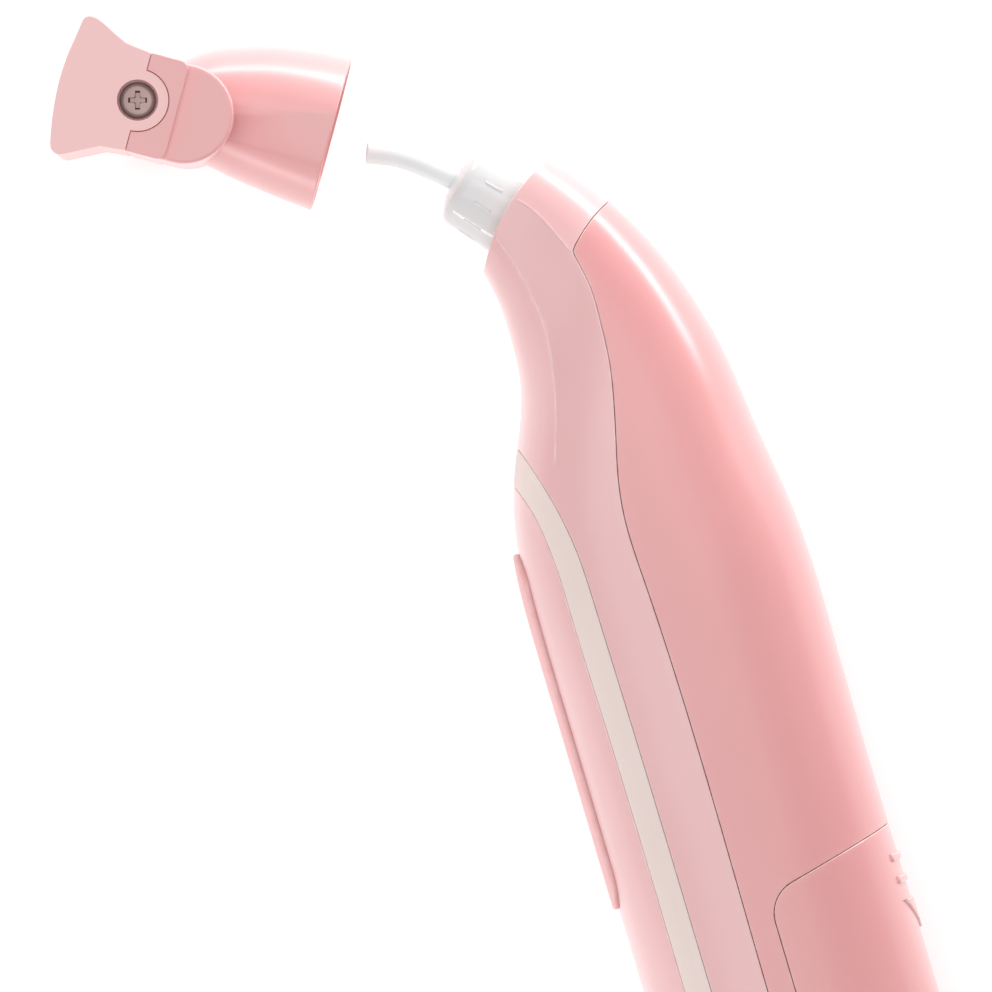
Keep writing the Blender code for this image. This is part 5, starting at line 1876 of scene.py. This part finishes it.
class Effects:
    """The shared groups: colour variation, grain, worn edges with painted highlight, and dust."""

    def __init__(self) -> None:
        """Build each group once."""
        self.tone = self.make_tone()
        self.grain = self.make_grain()
        self.wear_and_highlight = self.make_wear_and_highlight()
        self.dust = self.make_dust()

    @staticmethod
    def make_tone() -> bpy.types.NodeTree:
        """Colour that drifts slowly between two near tones.

        Returns:
            The group.
        """
        group = Group("tone_drift", [("First", COLOUR, GREY), ("Second", COLOUR, GREY), ("Scale", NUMBER, 30.0)],
                      [("Color", COLOUR)])
        value = group.noise(group.start.outputs["Scale"], 2.0)
        share = group.maths("MULTIPLY_ADD", value, 2.2, True)
        share.node.inputs[2].default_value = -0.6
        group.join(group.blend(share, group.start.outputs["First"], group.start.outputs["Second"]),
                   group.end.inputs["Color"])
        return group.tree

    @staticmethod
    def make_grain() -> bpy.types.NodeTree:
        """Fine moulded grain: a height, and a roughness between two values.

        Returns:
            The group.
        """
        group = Group("moulded_grain", [("Scale", NUMBER, 2500.0), ("Low", NUMBER, 0.3), ("High", NUMBER, 0.4)],
                      [("Height", NUMBER), ("Roughness", NUMBER)])
        scale = group.start.outputs["Scale"]
        fine = group.noise(scale, 4.0, 0.6)
        broad = group.noise(group.maths("DIVIDE", scale, 24.0), 2.0)
        group.join(group.maths("ADD", fine, group.maths("MULTIPLY", broad, 0.4)), group.end.inputs["Height"])
        span = group.maths("SUBTRACT", group.start.outputs["High"], group.start.outputs["Low"])
        lift = group.maths("MULTIPLY", broad, span)
        group.join(group.maths("ADD", lift, group.start.outputs["Low"]), group.end.inputs["Roughness"])
        return group.tree

    @staticmethod
    def make_wear_and_highlight() -> bpy.types.NodeTree:
        """Paler colour along the moulded edges and the crease crests: worn plastic, with painted highlight where the
        rounded edges and crests catch the light.

        Returns:
            The group.
        """
        group = Group("edge_wear", [("Color", COLOUR, GREY), ("Rubbed", COLOUR, (0.8, 0.8, 0.8, 1)),
                                    ("Amount", NUMBER, 0.4)], [("Color", COLOUR), ("Mask", NUMBER)])
        edge = group.add("ShaderNodeAttribute", attribute_name="edge").outputs["Fac"]
        spots = group.maths("MULTIPLY_ADD", group.noise(420.0, 3.0), 1.6, True)
        spots.node.inputs[2].default_value = -0.2
        return group.cover(group.maths("MULTIPLY", edge, spots), "Rubbed")

    @staticmethod
    def make_dust() -> bpy.types.NodeTree:
        """Sparse specks of dust over a colour.

        Returns:
            The group.
        """
        group = Group("dust_specks", [("Color", COLOUR, GREY), ("Dust", COLOUR, (0.9, 0.88, 0.86, 1)),
                                      ("Amount", NUMBER, 0.3)], [("Color", COLOUR), ("Mask", NUMBER)])
        specks = group.add("ShaderNodeTexVoronoi")
        group.join(group.place, specks.inputs["Vector"])
        specks.inputs["Scale"].default_value = 420.0
        near = group.maths("SUBTRACT", 0.055, specks.outputs["Distance"])
        sharp = group.maths("MULTIPLY", near, 30.0, True)
        patchy = group.maths("GREATER_THAN", group.noise(90.0, 2.0), 0.6)
        return group.cover(group.maths("MULTIPLY", sharp, patchy), "Dust")


@dataclass(frozen=True)
class Finish:
    """A moulded or machined finish: two near tones, a roughness span, grain, worn edges with painted highlight, and
    dust.
    """

    name: str
    tones: tuple
    wear_and_highlight_colour: tuple
    rough: tuple = (0.3, 0.4)
    grain_scale: float = 2600.0
    grain_depth: float = 0.004
    wear_and_highlight: float = 0.35
    dust: float = 0.12
    tone_scale: float = 26.0
    metallic: float = 0.0
    coat: float = 0.0
    coat_rough: float = 0.1
    subsurface: float = 0.0
    transmission: float = 0.0
    ior: float = 1.5

    def make(self, effects: Effects) -> bpy.types.Material:
        """Build the material from the shared groups.

        Args:
            effects: the shared node groups.

        Returns:
            The new material.
        """
        material = bpy.data.materials.new(self.name)
        material.use_nodes = True
        tree = material.node_tree
        shader = tree.nodes["Principled BSDF"]

        def place(group: bpy.types.NodeTree, **values: object) -> bpy.types.Node:
            """Place a shared group and set its inputs.

            Args:
                group: the shared group.
                values: its inputs by name.

            Returns:
                The placed node.
            """
            made = tree.nodes.new("ShaderNodeGroup")
            made.node_tree = group
            for label, value in values.items():
                made.inputs[label].default_value = value
            return made

        tone = place(effects.tone, First=linear(self.tones[0]), Second=linear(self.tones[1]), Scale=self.tone_scale)
        grain = place(effects.grain, Scale=self.grain_scale, Low=self.rough[0], High=self.rough[1])
        # Pale colour on edges and crease crests: worn edges with painted highlight.
        wear_and_highlight = place(effects.wear_and_highlight, Rubbed=linear(self.wear_and_highlight_colour), Amount=self.wear_and_highlight)
        dust = place(effects.dust, Amount=self.dust)
        tree.links.new(tone.outputs["Color"], wear_and_highlight.inputs["Color"])
        tree.links.new(wear_and_highlight.outputs["Color"], dust.inputs["Color"])
        tree.links.new(dust.outputs["Color"], shader.inputs["Base Color"])
        tree.links.new(grain.outputs["Roughness"], shader.inputs["Roughness"])
        bump = tree.nodes.new("ShaderNodeBump")
        bump.inputs["Strength"].default_value = 0.25
        bump.inputs["Distance"].default_value = self.grain_depth * MM
        tree.links.new(grain.outputs["Height"], bump.inputs["Height"])
        tree.links.new(bump.outputs["Normal"], shader.inputs["Normal"])
        plain = {"Metallic": self.metallic, "Coat Weight": self.coat, "Coat Roughness": self.coat_rough,
                 "Transmission Weight": self.transmission, "IOR": self.ior}
        if self.subsurface:
            plain |= {"Subsurface Weight": self.subsurface, "Subsurface Radius": (1.0, 0.6, 0.5),
                      "Subsurface Scale": 1.2 * MM}
        for socket, value in plain.items():
            shader.inputs[socket].default_value = value
        return material


# Pale colours laid along edges and crease crests: worn plastic together with painted highlight.
PALE_WEAR_AND_HIGHLIGHT = (255, 240, 238)
PINK_WEAR_AND_HIGHLIGHT = (255, 236, 234)
LACQUERED = {"rough": (0.27, 0.35), "coat": 1.0, "coat_rough": 0.3, "wear_and_highlight": 0.6}

FINISHES = {
    "pink_front": Finish("pink_front_moulding", ((241, 190, 191), (238, 185, 186)), PALE_WEAR_AND_HIGHLIGHT, **LACQUERED),
    "pink_rear": Finish("pink_rear_moulding", ((235, 163, 163), (232, 158, 159)), PINK_WEAR_AND_HIGHLIGHT, **LACQUERED),
    "pink_head": Finish("pink_head_moulding", ((240, 174, 174), (237, 169, 170)), PALE_WEAR_AND_HIGHLIGHT, **LACQUERED),
    "pink_nozzle": Finish("pink_nozzle_moulding", ((255, 208, 207), (253, 204, 203)), PALE_WEAR_AND_HIGHLIGHT, (0.3, 0.38)),
    "pink_trigger": Finish("pink_trigger_moulding", ((242, 180, 180), (239, 175, 176)), PINK_WEAR_AND_HIGHLIGHT, (0.34, 0.42)),
    "beige_trim": Finish("satin_trim", ((240, 223, 217), (237, 219, 213)), (255, 246, 242), (0.42, 0.5), 3200.0, 0.006),
    "white_collar": Finish("gloss_collar", ((229, 229, 229), (225, 225, 226)), (250, 250, 250), (0.1, 0.16), coat=0.4,
                           dust=0.05),
    "white_plastic": Finish("white_moulding", ((222, 221, 217), (217, 216, 212)), (240, 240, 238), (0.42, 0.52)),
    "silicone": Finish("silicone", ((238, 240, 240), (232, 235, 236)), (250, 250, 250), (0.28, 0.36), 1800.0, 0.006,
                       subsurface=0.6, dust=0.2),
    "rubber": Finish("soft_rubber", ((120, 116, 116), (112, 108, 108)), (150, 146, 146), (0.7, 0.82), 1500.0, 0.02),
    "screw_steel": Finish("screw_steel", ((158, 134, 131), (140, 119, 117)), (200, 190, 186), (0.26, 0.4), 1500.0, 0.01,
                          metallic=1.0, tone_scale=260.0),
    "aluminium": Finish("cast_aluminium", ((186, 188, 190), (170, 172, 175)), (220, 222, 224), (0.4, 0.55), 900.0, 0.05,
                        metallic=1.0),
    "black_plastic": Finish("black_moulding", ((46, 46, 49), (40, 40, 43)), (90, 90, 94), (0.45, 0.58), 1800.0, 0.02),
    "circuit_board": Finish("green_laminate", ((38, 98, 66), (30, 84, 56)), (90, 140, 110), (0.35, 0.45), 900.0, 0.01,
                            tone_scale=500.0),
    "clear_tank": Finish("clear_tank", ((236, 240, 242), (230, 236, 240)), (250, 250, 250), (0.04, 0.08), 900.0, 0.004,
                         transmission=0.9, ior=1.49, wear_and_highlight=0.0, dust=0.0),
}


def dress_everything() -> None:
    """Give each piece and each shown CAD node the finish of its material slot."""
    effects = Effects()
    made = {slot: finish.make(effects) for slot, finish in FINISHES.items()}
    by_node = {row["node"]: row["material_slot"] for row in frame["record"]["subparts"]}
    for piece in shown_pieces() + list(frame["nodes"].values()):
        slot = piece.get("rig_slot") or by_node.get(piece.name)
        if slot is None:
            LOG.warning("%s has no slot", piece.name)
            continue
        piece.data.materials.clear()
        piece.data.materials.append(made[slot])


# ---- studio

@dataclass(frozen=True)
class Lamp:
    """A rectangular soft light: design points it hangs at and faces, size in metres, power in watts."""

    name: str
    place: tuple
    aim: tuple
    size: tuple
    power: float


LAMPS = (
    Lamp("overhead", (-80.0, 190.0, 900.0), (-20.0, 140.0, 0.0), (0.9, 0.9), 3.35),
    Lamp("back_strip", (340.0, 440.0, 20.0), (5.0, 180.0, 5.0), (0.44, 0.045), 1.3),
    Lamp("head_strip", (60.0, 640.0, 20.0), (-50.0, 210.0, 5.0), (0.4, 0.035), 0.75),
    Lamp("front_fill", (-330.0, -140.0, 30.0), (-35.0, 170.0, 0.0), (0.4, 0.06), 0.35),
)


@dataclass
class Studio:
    """Pale floor, soft lights and the camera looking down on the device."""

    aim: tuple = (-25.0, 139.6)
    turn: tuple = (0.284, 0.959)
    height: float = 2.5
    lens: float = 522.0
    floor_colour: tuple = (250, 250, 250)
    floor_half: float = 6.0
    floor_drop: float = 0.0004
    floor_glow: float = 0.35

    def world_point(self, x: float, y: float, z: float) -> Vector:
        """Return the scene's place of a design point."""
        return Vector(np.array((x, y, z)) * MM + ORIGIN)

    def floor(self) -> None:
        """Lay the pale floor just under the object."""
        size, level = self.floor_half, CAD_BOX[0].z - self.floor_drop
        mesh = bpy.data.meshes.new("floor")
        corners = [(-size, -size), (size, -size), (size, size), (-size, size)]
        mesh.from_pydata([(x, y, level) for x, y in corners], [], [(0, 1, 2, 3)])
        made = bpy.data.objects.new("floor", mesh)
        bpy.context.scene.collection.objects.link(made)
        material = bpy.data.materials.new("pale_floor")
        material.use_nodes = True
        shader = material.node_tree.nodes["Principled BSDF"]
        shader.inputs["Base Color"].default_value = linear(self.floor_colour)
        shader.inputs["Roughness"].default_value = 0.7
        shader.inputs["Specular IOR Level"].default_value = 0.1
        shader.inputs["Emission Color"].default_value = (1.0, 1.0, 1.0, 1.0)
        shader.inputs["Emission Strength"].default_value = self.floor_glow
        mesh.materials.append(material)
        made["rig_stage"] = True

    def light(self, lamp: Lamp) -> None:
        """Hang a lamp.

        Args:
            lamp: where it hangs, what it faces, its size and its power.
        """
        data = bpy.data.lights.new(lamp.name, "AREA")
        data.shape = "RECTANGLE"
        data.size, data.size_y = lamp.size
        data.energy = lamp.power
        made = bpy.data.objects.new(lamp.name, data)
        made.location = self.world_point(*lamp.place)
        direction = self.world_point(*lamp.aim) - made.location
        made.rotation_euler = direction.to_track_quat("-Z", "Y").to_euler()
        made.visible_camera = False
        bpy.context.scene.collection.objects.link(made)

    def camera(self) -> None:
        """Set the camera straight above the middle of the view."""
        data = bpy.data.cameras.new("camera")
        data.lens = self.lens
        data.sensor_width = 36.0
        data.clip_start, data.clip_end = 0.05, 20.0
        made = bpy.data.objects.new("camera", data)
        up = Vector((self.turn[0], self.turn[1], 0.0)).normalized()
        right = Vector((up.y, -up.x, 0.0))
        turned_axes = Matrix((right, up, Vector((0.0, 0.0, 1.0)))).transposed()
        made.matrix_world = Matrix.Translation(self.world_point(*self.aim, self.height / MM)) @ turned_axes.to_4x4()
        bpy.context.scene.collection.objects.link(made)
        bpy.context.scene.camera = made

    def world(self) -> None:
        """Fill the room with even, slightly warm white light."""
        world = bpy.data.worlds.new("studio")
        world.use_nodes = True
        back = world.node_tree.nodes["Background"]
        back.inputs["Color"].default_value = (1.0, 0.99, 0.985, 1.0)
        back.inputs["Strength"].default_value = 0.5
        bpy.context.scene.world = world

    def build(self) -> None:
        """Set up floor, lights, world and camera."""
        self.camera()
        self.floor()
        self.world()
        for lamp in LAMPS:
            self.light(lamp)
        bpy.context.scene.view_settings.view_transform = "Standard"


def main() -> None:
    """Build every sub-assembly in order, dress them and light them."""
    logging.basicConfig(level=logging.INFO, format="%(name)s: %(message)s")
    form = HandleForm()
    form.finish_creases()
    shells = Shells(form)
    Studio().build()
    shells.build()
    TriggerPad(shells).build()
    TankCover(shells).build()
    NeckFittings(form).build()
    SteamHead().build()
    dress_everything()


if __name__ == "__main__":
    main()
